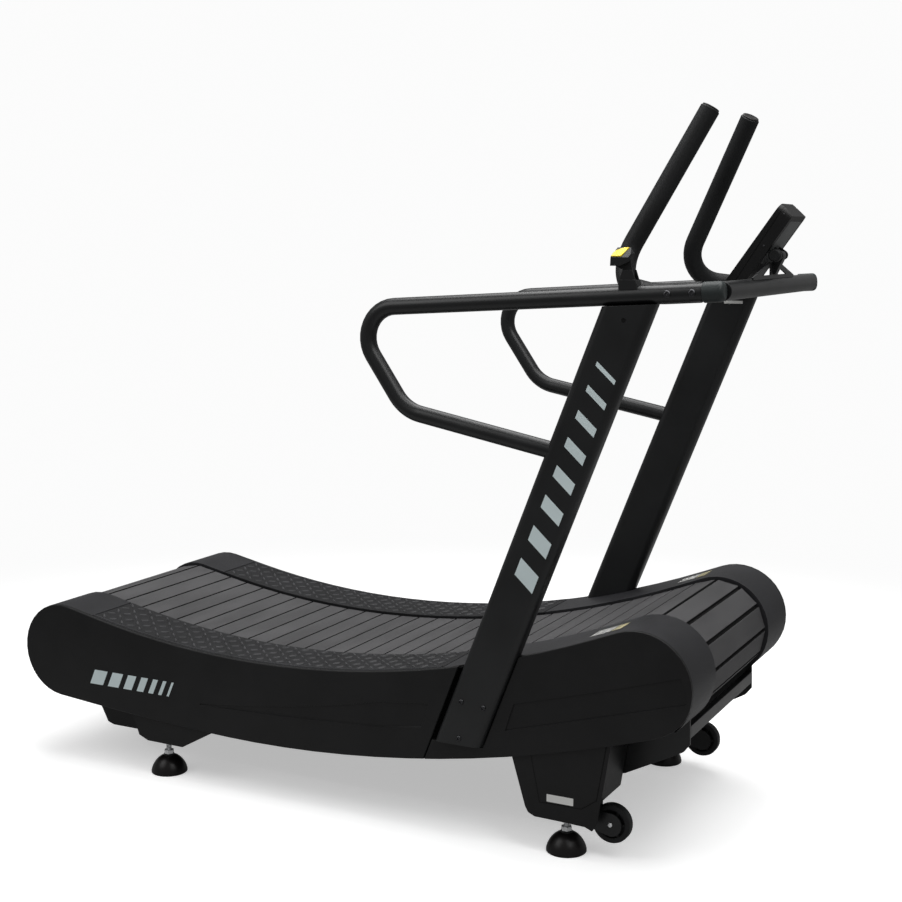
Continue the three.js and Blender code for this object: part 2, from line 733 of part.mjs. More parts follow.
// ---------------------------------------------------------------- uprights, handrails, front bar
function gripCorners(side) {
  const y = side * GRIP_LEG_Y;
  return [
    [1914, y, railHeight(1914)], [1807, y, railHeight(1807)],
    [1663, side * 238.7, 1330], [GRIP_TIP[0], side * GRIP_TIP[1], GRIP_TIP[2]],
  ];
}

function makeHandrail(side) {
  const y = side * RAIL_Y;
  const end = SLEEVE_X[1] - SLEEVE_END - 3;
  const corners = [
    [end, y, railHeight(end)],
    [RAIL_TOP_REAR[0], y, RAIL_TOP_REAR[1]],
    [RAIL_LOW[0], y, RAIL_LOW[1]],
    [RAIL_LOW_END[0], y, RAIL_LOW_END[1]],
  ];
  const tube = pipe(corners, RAIL_BENDS, RAIL_R, RAIL_R - TUBE_SKIN);
  const lowerPost = cut(uprightBar(side, GAP, 0), box(1300, 2100, -FAR, FAR, 1150, 2200));
  return geometryOf(cut(tube, lowerPost));
}

// A straight bar along a handrail's front stretch, between two distances from the rear end.
function railStretch(side, x0, x1, radius) {
  const y = side * RAIL_Y;
  return pipe([[x0, y, railHeight(x0)], [x1, y, railHeight(x1)]], [], radius, 0, 28);
}

// A socket over the handrail's end, closed at the front.
function makeCornerSleeve(side) {
  const [start, end] = SLEEVE_X;
  const bore = railStretch(side, start - 10, end - SLEEVE_END, RAIL_R + SLEEVE_FIT);
  return geometryOf(cut(railStretch(side, start, end, SLEEVE_R), bore));
}

// A tube across the front whose ends fit round the corner sleeves.
function makeFrontBar() {
  const [x, z] = RAIL_FRONT;
  const half = RAIL_Y - 14;
  const tube = pipe([[x, -half, z], [x, half, z]], [], BAR_R, BAR_R - TUBE_SKIN, 18);
  const sleeves = SIDES.map(([, side]) => railStretch(side, 1900, 2000, SLEEVE_R + GAP));
  return geometryOf(cut(tube, ...sleeves));
}

// The push handle's path as a bar, for cutting clearance into its neighbours.
function gripClearance(side) {
  return pipe(gripCorners(side), GRIP_BENDS, GRIP_R + 0.6, 0, 14, 6);
}

for (const [name, side] of SIDES) {
  const grip = pipe(gripCorners(side), GRIP_BENDS, GRIP_R, GRIP_R - GRIP_WALL, 14, 6);
  const upright = cut(makeUprightSolid(side), gripClearance(side));
  add(`upright_${name}`, geometryOf(upright), blackPaint());
  add(`handrail_${name}`, makeHandrail(side), blackPaint());
  add(`corner_sleeve_${name}`, makeCornerSleeve(side), greyPlastic());
  add(`push_handle_${name}`, grip, softRubber());
}
add('front_bar', makeFrontBar(), blackPaint());

// ---------------------------------------------------------------- legs, feet and wheels
const FRONT_LEG = [
  [1692, 75], [1704, 94], [1738, 305], [1472, 275], [1522, 107], [1530, 93], [1547, 85.5],
  [1612, 84.5], [1674, 82.5],
];
const REAR_LEG = [
  [525, 91], [612, 139], [650, 160], [650, 185], [352, 185], [366, 146], [381, 104], [410, 92],
];

// A deep shell open at the top, with a hole for the foot's stud.
function makeLeg(outline, inset, side, footX) {
  const outer = slab(outline, side * LEG_Y[0], side * LEG_Y[1]);
  const cavity = slab(inset, side * (LEG_Y[0] + LEG_WALL), side * (LEG_Y[1] - LEG_WALL));
  const r = STUD_R + 0.6;
  const hole = standing([[0, 40], [r, 40], [r, 140], [0, 140]], footX, side * FOOT_Y);
  return cut(outer, cavity, hole);
}

const FRONT_LEG_INSIDE = [
  [1688, 83], [1700, 98], [1737, 330], [1476, 330], [1528, 109], [1535, 98], [1549, 91],
  [1612, 90.5], [1673, 88],
];
const REAR_LEG_INSIDE = [
  [523, 97], [610, 145], [645, 166], [645, 220], [358, 220], [371, 148], [386, 109], [412, 98],
];
const FORK_Y = [WHEEL.y - 18, WHEEL.y + 18];
const FORK_PLATE = 4;
const ARCH = { x: 1669, top: 148 }; // wheel arch: the leg's front corner inside its outer wall

function makeFrontLeg(side) {
  const shell = makeLeg(FRONT_LEG, FRONT_LEG_INSIDE, side, FOOT_X.front);
  const outside = side * (LEG_Y[1] - LEG_WALL);
  const arch = box(ARCH.x, 1780, side * (LEG_Y[0] - 10), outside, 30, ARCH.top);
  return geometryOf(cut(shell, arch));
}

// Two round-ended cheeks, a top plate and the axle pin, in one piece.
function makeWheelFork(side) {
  const rear = ARCH.x + GAP;
  const top = ARCH.top - GAP;
  const cheek = [
    [rear, top], [rear + 14, top], [rear + 24, WHEEL.z + 28],
    ...arc(WHEEL.x, WHEEL.z, 28, 0, Math.PI, 12),
    [rear + 16, WHEEL.z - 18], [rear, WHEEL.z - 6],
  ];
  const [inner, outer] = FORK_Y;
  const plate = box(rear, 1702, side * inner, side * outer, top - FORK_PLATE, top);
  const pin = slab(ring(WHEEL.x, WHEEL.z, 5, 16), side * inner, side * outer);
  return geometryOf(joined(
    slab(cheek, side * inner, side * (inner + FORK_PLATE)),
    slab(cheek, side * (outer - FORK_PLATE), side * outer),
    plate,
    pin,
  ));
}

function makeWheel(side) {
  const half = WHEEL.width / 2;
  const bore = 5.6;
  const geometry = turned([
    [bore, -half], [15, -half], [16, -5], [33, -5], [35, -half], [43, -half], [WHEEL.r, -half + 4],
    [WHEEL.r, half - 4], [43, half], [35, half], [33, 5], [16, 5], [15, half], [bore, half],
    [bore, -half],
  ], WHEEL.x, WHEEL.z, 32);
  geometry.translate(0, side * WHEEL.y, 0);
  return geometry;
}

const FOOT_TOP = FOOT_HEIGHT - GAP;
const footProfile = [
  [0, 0], [FOOT_R - 2, 0], [FOOT_R, 3], [FOOT_R, 8], [43, 21], [34, 34], [22, 44],
  [13, FOOT_TOP], [0, FOOT_TOP],
];
const studProfile = [[0, FOOT_HEIGHT], [STUD_R, FOOT_HEIGHT], [STUD_R, 150], [0, 150]];

for (const [name, side] of SIDES) {
  const y = side * FOOT_Y;
  add(`front_leg_${name}`, makeFrontLeg(side), coverPlastic());
  const rearLeg = makeLeg(REAR_LEG, REAR_LEG_INSIDE, side, FOOT_X.rear);
  add(`rear_leg_${name}`, geometryOf(rearLeg), coverPlastic());
  add(`wheel_fork_${name}`, makeWheelFork(side), blackPaint());
  add(`transport_wheel_${name}`, makeWheel(side), softRubber());
  for (const [end, x] of Object.entries(FOOT_X)) {
    add(`${end}_foot_pad_${name}`, standing(footProfile, x, y, 28), softRubber());
    add(`${end}_foot_stud_${name}`, standing(studProfile, x, y, 14), zinc());
  }
}

// ---------------------------------------------------------------- resistance lever
const LEVER_HALF = 9;
const LEVER_HEAD_HALF = 20;
const LEVER_TOP = { z: 1399, rise: 20.8 }; // height at its middle, rise from outside to inside

// A flared saddle on the right handrail with two cheeks and the lever's pin.
function makeLeverBase() {
  const [px, pz] = LEVER_PIVOT;
  const y = -RAIL_Y;
  const flare = [[px - 20, 1316], [px + 25, 1316], [px + 19, pz - 12], [px - 19, pz - 12]];
  const saddle = slab(flare, y - 16, y + 16);
  const cheek = [[px - 19, pz - 13], [px + 18, pz - 13], [px + 11, pz + 9], [px - 12, pz + 9]];
  const left = slab(cheek, y + LEVER_HALF + 0.6, y + LEVER_HALF + 5);
  const right = slab(cheek, y - LEVER_HALF - 5, y - LEVER_HALF - 0.6);
  const pin = slab(ring(px, pz, 3, 12), y - LEVER_HALF - 5, y + LEVER_HALF + 5);
  const rail = railStretch(-1, 1600, 1900, RAIL_R + 0.5);
  return geometryOf(cut(joined(saddle, left, right, pin), rail, gripClearance(-1)));
}

// A short stem under a broad thumb piece whose top slopes down to the outside.
function makeLever() {
  const [px, pz] = LEVER_PIVOT;
  const y = -RAIL_Y;
  const stem = [
    ...arc(px, pz, 10, 0.5 * Math.PI, 1.5 * Math.PI, 6),
    [px - 14, pz + 10], [px - 28, pz + 17], [px - 28, pz + 30], [px + 3, pz + 40], [px + 8, pz + 12],
  ];
  const head = slab([
    [px - 38, pz + 18], [px - 16, pz + 18], [px + 3, pz + 26], [px + 4, pz + 44],
    [px - 8, pz + 62], [px - 36, pz + 62],
  ], y - LEVER_HEAD_HALF, y + LEVER_HEAD_HALF);
  const slope = LEVER_TOP.rise / (2 * LEVER_HEAD_HALF);
  const top = (dy) => LEVER_TOP.z + slope * dy;
  const above = sheetAcross([
    [y - 30, top(-30)], [y + 30, top(30)], [y + 30, top(30) + 60], [y - 30, top(30) + 60],
  ], px - 60, px + 60);
  const body = slab(stem, y - LEVER_HALF, y + LEVER_HALF);
  const bore = slab(ring(px, pz, 3.5, 12), y - 20, y + 20);
  return geometryOf(cut(joined(body, head), bore, above));
}

add('lever_base', makeLeverBase(), blackPaint());
add('resistance_lever', makeLever(), softRubber());

// ---------------------------------------------------------------- console
const TILT_SIN = Math.sin(CONSOLE.tilt);
const TILT_COS = Math.cos(CONSOLE.tilt);
const CONSOLE_CORNER = 18;
const KEY_U = [30, 46];
const KEY_HALF = 9;
const KEY_POCKET = 5;
const KEY_YS = [-32, 0, 32];

function consolePoint(u, v) {
  return [CONSOLE.x + u * TILT_COS + v * TILT_SIN, CONSOLE.z + u * TILT_SIN - v * TILT_COS];
}

function consoleSlab(outline, y0, y1) {
  return slab(outline.map(([u, v]) => consolePoint(u, v)), y0, y1);
}

function consoleBox(u0, u1, v0, v1, y0, y1) {
  return consoleSlab([[u0, v0], [u0, v1], [u1, v1], [u1, v0]].reverse(), y0, y1);
}

// The console's face, round at its upper corners, shrunk by an inset and run through its depth.
function consoleFace(inset) {
  const { length, depth, half } = CONSOLE;
  const below = 60;
  const outline = roundedRect((length - below) / 2, 0,
    length + below - 2 * inset, 2 * (half - inset), CONSOLE_CORNER - inset);
  const shape = new THREE.Shape(outline.map(([u, y]) => new THREE.Vector2(u, y)));
  const geometry = new THREE.ExtrudeGeometry(shape, { depth: depth + 10, bevelEnabled: false });
  geometry.applyMatrix4(new THREE.Matrix4().makeBasis(
    new THREE.Vector3(TILT_COS, 0, TILT_SIN),
    new THREE.Vector3(0, 1, 0),
    new THREE.Vector3(-TILT_SIN, 0, TILT_COS)));
  const [x, z] = consolePoint(0, depth + 5);
  geometry.translate(x, 0, z);
  return geometry;
}

// A shallow groove round the sides and top, where the front and rear shells meet.
function consoleGroove() {
  const { length, half } = CONSOLE;
  const slanted = [[-5, 19.5], [-5, 22], [length + 5, 12], [length + 5, 9.5]];
  const sheet = consoleSlab(slanted, -half - 5, half + 5);
  return cut(sheet, consoleFace(1.5));
}

function makeConsoleHousing() {
  const { length, depth, half } = CONSOLE;
  const [px, pz] = CONSOLE_PIVOT;
  const pivotU = (px - CONSOLE.x) * TILT_COS + (pz - CONSOLE.z) * TILT_SIN;
  const profile = consoleSlab([[0, 0], [length, 0], [length - 7, depth], [4, depth]], -half, half);
  const shell = solid(profile).intersect(solid(consoleFace(0)));
  const ears = [-1, 1].map((s) => {
    const foot = consoleBox(pivotU - 11, pivotU + 11, depth - 2, depth + 17.8, s * 16, s * 24);
    return solid(foot).add(solid(slab(ring(px, pz, 11), s * 16, s * 24)));
  });
  const body = ears.reduce((whole, ear) => whole.add(ear), shell);
  const bore = slab(ring(px, pz, 5.7, 16), -30, 30);
  const cavity = consoleBox(6, length - 16, 7, depth - 3, -half + 6, half - 6);
  const cableSlot = consoleBox(-5, 8, 15, 27, -14, 14);
  const screen = consoleBox(78, length - 16, -2, 1, -half + 12, half - 12);
  const pockets = KEY_YS.map((y) => consoleBox(...KEY_U, -2, KEY_POCKET, y - KEY_HALF, y + KEY_HALF));
  return geometryOf(cut(body, bore, cavity, cableSlot, screen, consoleGroove(), ...pockets));
}

// A closed outline of [y, z] points, extruded forward from x0 to x1.
function sheetAcross(outline, x0, x1) {
  const shape = new THREE.Shape(outline.map(([y, z]) => new THREE.Vector2(y, z)));
  const geometry = new THREE.ExtrudeGeometry(shape, { depth: x1 - x0, bevelEnabled: false });
  geometry.applyMatrix4(new THREE.Matrix4().makeBasis(
    new THREE.Vector3(0, 1, 0), new THREE.Vector3(0, 0, 1), new THREE.Vector3(1, 0, 0)));
  geometry.translate(x0, 0, 0);
  return geometry;
}

// A low triangular plate astride the front bar with a tongue up to the tilt pin.
function makeConsoleBracket() {
  const [px, pz] = CONSOLE_PIVOT;
  const outline = [[-172, 1322], [172, 1322], [172, 1342], [40, 1374], [-40, 1374], [-172, 1342]];
  const plate = sheetAcross(outline, RAIL_FRONT[0] + 7, RAIL_FRONT[0] + 11);
  const windows = [-1, 1].map((s) => {
    const opening = [[s * 30, 1345], [s * 105, 1345], [s * 40, 1362], [s * 30, 1362]];
    return sheetAcross(opening, RAIL_FRONT[0], RAIL_FRONT[0] + 20);
  });
  const tongue = slab([
    [px - 16, pz - 44], [px - 9, pz - 44], [px + 10, pz - 4], [px + 4, pz + 8],
    [px - 8, pz + 4], [px - 18, pz - 20],
  ], -11, 11);
  const boss = slab(ring(px, pz, 10), -11, 11);
  const pin = slab(ring(px, pz, 5, 16), -33, 33);
  const bar = pipe([
    [RAIL_FRONT[0], -300, RAIL_FRONT[1]], [RAIL_FRONT[0], 300, RAIL_FRONT[1]],
  ], [], BAR_R + GAP + 0.3, 0, 36);
  return geometryOf(cut(joined(plate, tongue, boss, pin), bar, ...windows));
}

function makeConsoleKey(y) {
  const fit = 0.4;
  const half = KEY_HALF - fit;
  return consoleBox(KEY_U[0] + fit, KEY_U[1] - fit, -1.2, 3.2, y - half, y + half);
}

add('console_housing', makeConsoleHousing(), coverPlastic());
add('console_bracket', makeConsoleBracket(), blackPaint());
const knobProfile = [[0, -57], [12, -57], [15, -54], [15, -44], [9, -34], [0, -34]];
const knob = turned(knobProfile, ...CONSOLE_PIVOT, 20);
knob.translate(0, -GAP, 0);
add('console_knob', knob, softRubber());
KEY_YS.forEach((y, i) => add(`console_key_${i + 1}`, makeConsoleKey(y), greyPlastic()));

export default machine;
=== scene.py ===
import json
import math

import bmesh
import bpy
from mathutils import Matrix, Vector
from mathutils.bvhtree import BVHTree


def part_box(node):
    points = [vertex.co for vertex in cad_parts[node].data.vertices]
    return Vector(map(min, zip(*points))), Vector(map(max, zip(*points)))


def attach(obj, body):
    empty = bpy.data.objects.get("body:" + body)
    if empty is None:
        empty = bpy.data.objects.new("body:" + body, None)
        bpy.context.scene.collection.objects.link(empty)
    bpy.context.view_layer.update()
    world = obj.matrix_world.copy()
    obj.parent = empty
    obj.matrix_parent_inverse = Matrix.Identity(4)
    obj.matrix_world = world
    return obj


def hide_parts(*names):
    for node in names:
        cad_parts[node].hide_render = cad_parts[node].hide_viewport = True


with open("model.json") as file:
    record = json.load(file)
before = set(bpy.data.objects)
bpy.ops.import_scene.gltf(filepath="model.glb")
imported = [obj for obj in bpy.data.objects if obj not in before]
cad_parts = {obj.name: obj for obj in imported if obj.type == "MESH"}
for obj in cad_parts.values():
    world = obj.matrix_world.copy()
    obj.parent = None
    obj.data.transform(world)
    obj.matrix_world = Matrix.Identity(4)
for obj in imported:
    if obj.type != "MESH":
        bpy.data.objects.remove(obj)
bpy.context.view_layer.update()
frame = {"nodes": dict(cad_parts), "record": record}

REAR_END = -1.0143  # frame X of the machine's rear end
SIDES = (("right", -1), ("left", 1))
WHITE = 0.97
ABOVE_DECK = 700  # a height in mm from which rays are cast down at the deck
BESIDE = 600  # a distance in mm from the middle plane from which rays are cast inwards
SEAMS = (231, 1305)  # ends of the foot rails, from the machine's rear end
UPRIGHT_TILT = math.radians(21.5)
CONSOLE_TILT = math.radians(54.7)
CONSOLE_CORNER = (1874, 1329)  # lower edge of the console's face: from the rear end, and height
RAIL_Y = 388  # handrails' distance from the middle plane
RAIL_TOP = ((1046, 1262.7), (1963.5, 1317.7))  # the handrails' top run: rear bend and front end


def at(x, y, z):
    """Frame position of a point given in millimetres, with x from the machine's rear end."""
    return Vector((x / 1000 + REAR_END, y / 1000, z / 1000))


# ---------------------------------------------------------------- materials
def material(name, colour, roughness, metallic=0.0, grain=0.1, grain_scale=900.0,
             mottle=0.25, mottle_scale=9.0, stretch=(1.0, 1.0, 1.0), coat=0.0, shine=0.25):
    """Plastic, paint, rubber or metal: colour and gloss vary slowly, and a fine grain is raised."""
    mat = bpy.data.materials.new(name)
    mat.use_nodes = True
    nodes, links = mat.node_tree.nodes, mat.node_tree.links
    shader = nodes["Principled BSDF"]
    shader.inputs["Metallic"].default_value = metallic
    shader.inputs["Coat Weight"].default_value = coat
    shader.inputs["Specular IOR Level"].default_value = shine
    place = nodes.new("ShaderNodeTexCoord")
    scaled = nodes.new("ShaderNodeMapping")
    scaled.inputs["Scale"].default_value = stretch
    links.new(place.outputs["Object"], scaled.inputs["Vector"])

    clouds = noise(nodes, links, scaled, mottle_scale, 4.0)
    tint = nodes.new("ShaderNodeValToRGB")
    tint.color_ramp.elements[0].position = 0.3
    tint.color_ramp.elements[1].position = 0.7
    low, high = 1 - mottle, 1 + mottle
    tint.color_ramp.elements[0].color = (*[min(1, c * low) for c in colour], 1)
    tint.color_ramp.elements[1].color = (*[min(1, c * high) for c in colour], 1)
    links.new(clouds.outputs["Fac"], tint.inputs["Fac"])
    links.new(tint.outputs["Color"], shader.inputs["Base Color"])

    speckle = noise(nodes, links, scaled, grain_scale, 2.0)
    gloss = nodes.new("ShaderNodeMapRange")
    gloss.inputs["To Min"].default_value = roughness - 0.07
    gloss.inputs["To Max"].default_value = roughness + 0.07
    links.new(clouds.outputs["Fac"], gloss.inputs["Value"])
    links.new(gloss.outputs["Result"], shader.inputs["Roughness"])
    bump = nodes.new("ShaderNodeBump")
    bump.inputs["Strength"].default_value = grain
    bump.inputs["Distance"].default_value = 0.0004
    links.new(speckle.outputs["Fac"], bump.inputs["Height"])
    links.new(bump.outputs["Normal"], shader.inputs["Normal"])
    return mat


def noise(nodes, links, place, scale, detail):
    """A noise texture read at a mapped place."""
    node = nodes.new("ShaderNodeTexNoise")
    node.inputs["Scale"].default_value = scale
    node.inputs["Detail"].default_value = detail
    links.new(place.outputs["Vector"], node.inputs["Vector"])
    return node


COVER = material("cover_plastic", (0.0075, 0.0075, 0.0078), 0.40, grain=0.25, grain_scale=1500)
TREAD = material("tread_plastic", (0.018, 0.018, 0.020), 0.46, grain=0.35, grain_scale=1300)
TREAD_BASE = material("tread_base_plastic", (0.009, 0.009, 0.010), 0.55, grain=0.35, grain_scale=1300)
# Raised tread bars, painted much lighter than the rail plastic they are moulded with: a painted
# highlight on the bars
TREAD_BAR_LIT = material("tread_bar_plastic_painted_lit", (0.045, 0.045, 0.048), 0.42, grain=0.2, grain_scale=1300,
                     shine=0.4)
PAINT = material("black_paint", (0.0085, 0.0090, 0.0095), 0.34, grain=0.15, grain_scale=1100,
                 shine=0.4)
SLAT = material("slat_rubber", (0.064, 0.063, 0.065), 0.62, grain=0.5, grain_scale=1600,
                mottle=0.2, mottle_scale=16, stretch=(1, 0.25, 1))
# Near-black for the belt's web and the upright plugs; the same material is also painted shade in gaps,
# grooves and slits
WEB_AND_SHADE = material("belt_web_and_painted_shade", (0.003, 0.003, 0.003), 0.85, grain=0.3)
GRIP = material("grip_rubber", (0.0095, 0.010, 0.0105), 0.52, grain=0.6, grain_scale=2200)
PAD = material("foot_rubber", (0.006, 0.005, 0.005), 0.33, grain=0.1, grain_scale=1200)
ZINC = material("zinc", (0.80, 0.81, 0.82), 0.28, metallic=0.55, mottle=0.08, mottle_scale=60,
                shine=0.5)
STEEL = material("turned_steel", (0.36, 0.37, 0.38), 0.34, metallic=1.0, grain=0.3, grain_scale=700,
                 mottle=0.15, mottle_scale=30)
BOLT = material("black_oxide", (0.045, 0.045, 0.048), 0.22, metallic=0.85, mottle=0.1, shine=0.5)
GREY = material("grey_plastic", (0.028, 0.034, 0.034), 0.42, grain=0.3, grain_scale=1500)
SILVER = material("silver_plastic", (0.13, 0.135, 0.135), 0.45, grain=0.3, grain_scale=1500)
YELLOW = material("yellow_plastic", (0.80, 0.60, 0.015), 0.38, mottle=0.05)
LABEL = material("blank_label", (0.72, 0.72, 0.70), 0.45, grain=0.05, mottle=0.04)
CREAM = material("cream_label", (0.72, 0.66, 0.42), 0.45, grain=0.05, mottle=0.06)
MARK = material("pale_print", (0.66, 0.76, 0.77), 0.40, grain=0.1, mottle=0.06)
GLASS = material("screen_cover", (0.006, 0.007, 0.008), 0.10, grain=0.0, coat=0.6, shine=0.5)
LCD = material("screen_panel", (0.085, 0.105, 0.085), 0.30, grain=0.05, mottle=0.08)


# ---------------------------------------------------------------- mesh helpers
NODE_BODY = {}
for body_name, body_nodes in frame["record"]["behaviour"]["bodies"].items():
    for body_node in body_nodes:
        NODE_BODY[body_node] = body_name


def piece(name, bm, mat, body, stands_for=(), smooth=32.0):
    """Turns a bmesh into a piece that rides on a body. mat is one material or a list of them."""
    mesh = bpy.data.meshes.new(name)
    bmesh.ops.recalc_face_normals(bm, faces=bm.faces)
    bm.to_mesh(mesh)
    bm.free()
    for one in mat if isinstance(mat, list) else [mat]:
        mesh.materials.append(one)
    mesh.shade_smooth()
    mesh.set_sharp_from_angle(angle=math.radians(smooth))
    obj = bpy.data.objects.new(name, mesh)
    bpy.context.scene.collection.objects.link(obj)
    obj.modifiers.new("weighted", "WEIGHTED_NORMAL").keep_sharp = True
    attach(obj, body)
    if stands_for:
        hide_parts(*stands_for)
    return obj


def clean_copy(node):
    """The CAD mesh of a node with its doubled corners joined and its flat faces merged."""
    bm = bmesh.new()
    bm.from_mesh(frame["nodes"][node].data)
    bmesh.ops.remove_doubles(bm, verts=bm.verts, dist=2e-5)
    bmesh.ops.dissolve_limit(bm, angle_limit=math.radians(0.4), verts=bm.verts, edges=bm.edges)
    return bm


def sharp_edges(bm, angle=34.0):
    """Edges whose two faces meet at more than an angle in degrees."""
    limit = math.radians(angle)
    return [e for e in bm.edges if e.is_manifold and e.calc_face_angle() > limit]


def rounded(bm, edges, width, segments=2):
    """Rounds off edges over a width in metres."""
    if edges:
        bmesh.ops.bevel(bm, geom=edges, offset=width, segments=segments, profile=0.5,
                        affect="EDGES", clamp_overlap=True)


def refined(node, mat, edge=0.0008, segments=2):
    """A CAD node shown with rounded edges and a finished material."""
    bm = clean_copy(node)
    rounded(bm, sharp_edges(bm), edge, segments)
    return piece(node + "_finish", bm, mat, NODE_BODY[node], (node,))


def frame_about(normal, up=Vector((0, 0, 1))):
    """Rotation whose Z is the normal and whose Y is as near to up as it can be."""
    z = normal.normalized()
    if abs(z.dot(up)) > 0.99:
        up = Vector((1, 0, 0))
    x = up.cross(z).normalized()
    return Matrix((x, z.cross(x), z)).transposed().to_4x4()


def placed(bm, point, normal, up=Vector((0, 0, 1))):
    """Moves a bmesh so that its origin is at a point and its Z is along a normal."""
    bm.transform(Matrix.Translation(point) @ frame_about(normal, up))
    return bm


def lathe(profile, segments=32):
    """A turned solid about Z from a profile of (radius, height) in millimetres."""
    bm = bmesh.new()
    rings = []
    for r, z in profile:
        if r == 0:
            rings.append([bm.verts.new((0, 0, z / 1000))])
            continue
        rings.append([
            bm.verts.new((r / 1000 * math.cos(a), r / 1000 * math.sin(a), z / 1000))
            for a in (2 * math.pi * i / segments for i in range(segments))
        ])
    for low, high in zip(rings, rings[1:]):
        for i in range(segments):
            j = (i + 1) % segments
            corners = [low[i % len(low)], low[j % len(low)], high[j % len(high)], high[i % len(high)]]
            corners = list(dict.fromkeys(corners))
            if len(corners) > 2:
                bm.faces.new(corners)
    return bm


def prism(outline, depth, edge=0.0, segments=2):
    """A plate of (x, y) points in millimetres, from z 0 to depth, with rounded edges."""
    bm = bmesh.new()
    low = [bm.verts.new((x / 1000, y / 1000, 0)) for x, y in outline]
    high = [bm.verts.new((x / 1000, y / 1000, depth / 1000)) for x, y in outline]
    bm.faces.new(low[::-1])
    bm.faces.new(high)
    for i in range(len(outline)):
        j = (i + 1) % len(outline)
        bm.faces.new((low[i], low[j], high[j], high[i]))
    if edge:
        rim = [e for e in bm.edges if all(v in high for v in e.verts)]
        rounded(bm, rim, edge / 1000, segments)
    return bm


def merged(*parts):
    """One bmesh holding all the given ones."""
    whole = bmesh.new()
    for part in parts:
        mesh = bpy.data.meshes.new("part")
        part.to_mesh(mesh)
        part.free()
        whole.from_mesh(mesh)
        bpy.data.meshes.remove(mesh)
    return whole


def polygon(radius, sides):
    """Corners of a regular polygon, the first on +X."""
    angles = [2 * math.pi * i / sides for i in range(sides)]
    return [(radius * math.cos(a), radius * math.sin(a)) for a in angles]


def rounded_rectangle(width, height, radius, steps=4):
    """Corners of a rectangle about the origin whose corners are arcs."""
    points = []
    for k, (sx, sy) in enumerate(((1, 1), (-1, 1), (-1, -1), (1, -1))):
        for i in range(steps + 1):
            a = (k + i / steps) * math.pi / 2
            points.append((sx * (width / 2 - radius) + radius * math.cos(a),
                           sy * (height / 2 - radius) + radius * math.sin(a)))
    return points


def bent_path(corners, bends, steps=10):
    """Points and directions along straight runs joined by round bends, in metres."""
    points = [Vector(c) for c in corners]
    heading = [(b - a).normalized() for a, b in zip(points, points[1:])]
    stations = [(points[0], heading[0])]
    for i, radius in enumerate(bends, start=1):
        into, out = heading[i - 1], heading[i]
        turn = into.angle(out)
        start = points[i] - into * radius * math.tan(turn / 2)
        inward = (out - into * out.dot(into)).normalized()
        for k in range(steps + 1):
            a = turn * k / steps
            spot = start + into * radius * math.sin(a) + inward * radius * (1 - math.cos(a))
            stations.append((spot, (into * math.cos(a) + inward * math.sin(a)).normalized()))
    stations.append((points[-1], heading[-1]))
    return stations


def sweep(stations, radius, sides=28, lip=0.0015):
    """A solid round bar along stations, with slightly rounded ends."""
    first, last = stations[0], stations[-1]
    rings = [(first[0], first[1], radius - lip), (first[0] + first[1] * lip, first[1], radius)]
    rings += [(p, d, radius) for p, d in stations[1:-1]]
    rings += [(last[0] - last[1] * lip, last[1], radius), (last[0], last[1], radius - lip)]
    bm = bmesh.new()
    side = rings[0][1].orthogonal().normalized()
    loops = []
    for centre, direction, r in rings:
        side = (side - direction * side.dot(direction)).normalized()
        other = direction.cross(side)
        loops.append([
            bm.verts.new(centre + (side * math.cos(a) + other * math.sin(a)) * r)
            for a in (2 * math.pi * i / sides for i in range(sides))
        ])
    for low, high in zip(loops, loops[1:]):
        for i in range(sides):
            j = (i + 1) % sides
            bm.faces.new((low[i], low[j], high[j], high[i]))
    bm.faces.new(loops[0][::-1])
    bm.faces.new(loops[-1])
    return bm


SURFACES = {}


def touch(node, point, direction):
    """Where a ray meets a CAD node: the place and the outward normal."""
    direction = Vector(direction).normalized()
    if node not in SURFACES:
        mesh = frame["nodes"][node].data
        corners = [v.co for v in mesh.vertices]
        SURFACES[node] = BVHTree.FromPolygons(corners, [list(p.vertices) for p in mesh.polygons])
    place, normal, _, _ = SURFACES[node].ray_cast(Vector(point), direction)
    if place is None:
        raise RuntimeError("no surface of " + node + " there")
    if normal.dot(direction) > 0:
        normal = -normal
    return place, normal


# ---------------------------------------------------------------- fasteners
def button_head(radius=6.0, height=3.4):
    """A low domed screw head with a hexagonal socket."""
    dome = [(radius, 0), (radius, 0.5), (radius * 0.93, height * 0.5), (radius * 0.74, height * 0.86),
            (radius * 0.52, height), (radius * 0.46, height * 0.98), (radius * 0.46, height * 0.35),
            (0, height * 0.30)]
    return lathe([(0, 0)] + dome, 24)


def hex_nut(across, height, bore):
    """A chamfered hexagon nut with a raised lip round its bore."""
    body = prism(polygon(across / math.sqrt(3), 6), height, 0.9)
    lip = [(bore, height), (bore + 1.6, height + 0.5), (bore + 3.0, height + 0.1), (bore, height)]
    return merged(body, lathe(lip, 24))


def standing(plate, side, y):
    """Stands a prism of (x, height) points on edge, its depth running outwards from |y|."""
    if side > 0:
        plate.transform(Matrix.Scale(-1, 4, Vector((0, 0, 1))))
    upright = Matrix.Rotation(math.radians(90), 4, "X")
    plate.transform(Matrix.Translation(Vector((REAR_END, side * y, 0))) @ upright)
    return plate


def stuck(name, bm, node, point, direction, mat):
    """A fastener or trim piece seated where a ray meets a node."""
    place, normal = touch(node, point, direction)
    return piece(name, placed(bm, place, normal), mat, NODE_BODY[node])


# ---------------------------------------------------------------- deck
def is_perimeter(edge, wall):
    """True for an edge of a cover's outer face that borders its full thickness."""
    for face in edge.link_faces:
        ys = [v.co.y for v in face.verts]
        if abs(face.normal.y) < 0.5 and max(ys) - min(ys) > wall:
            return True
    return False


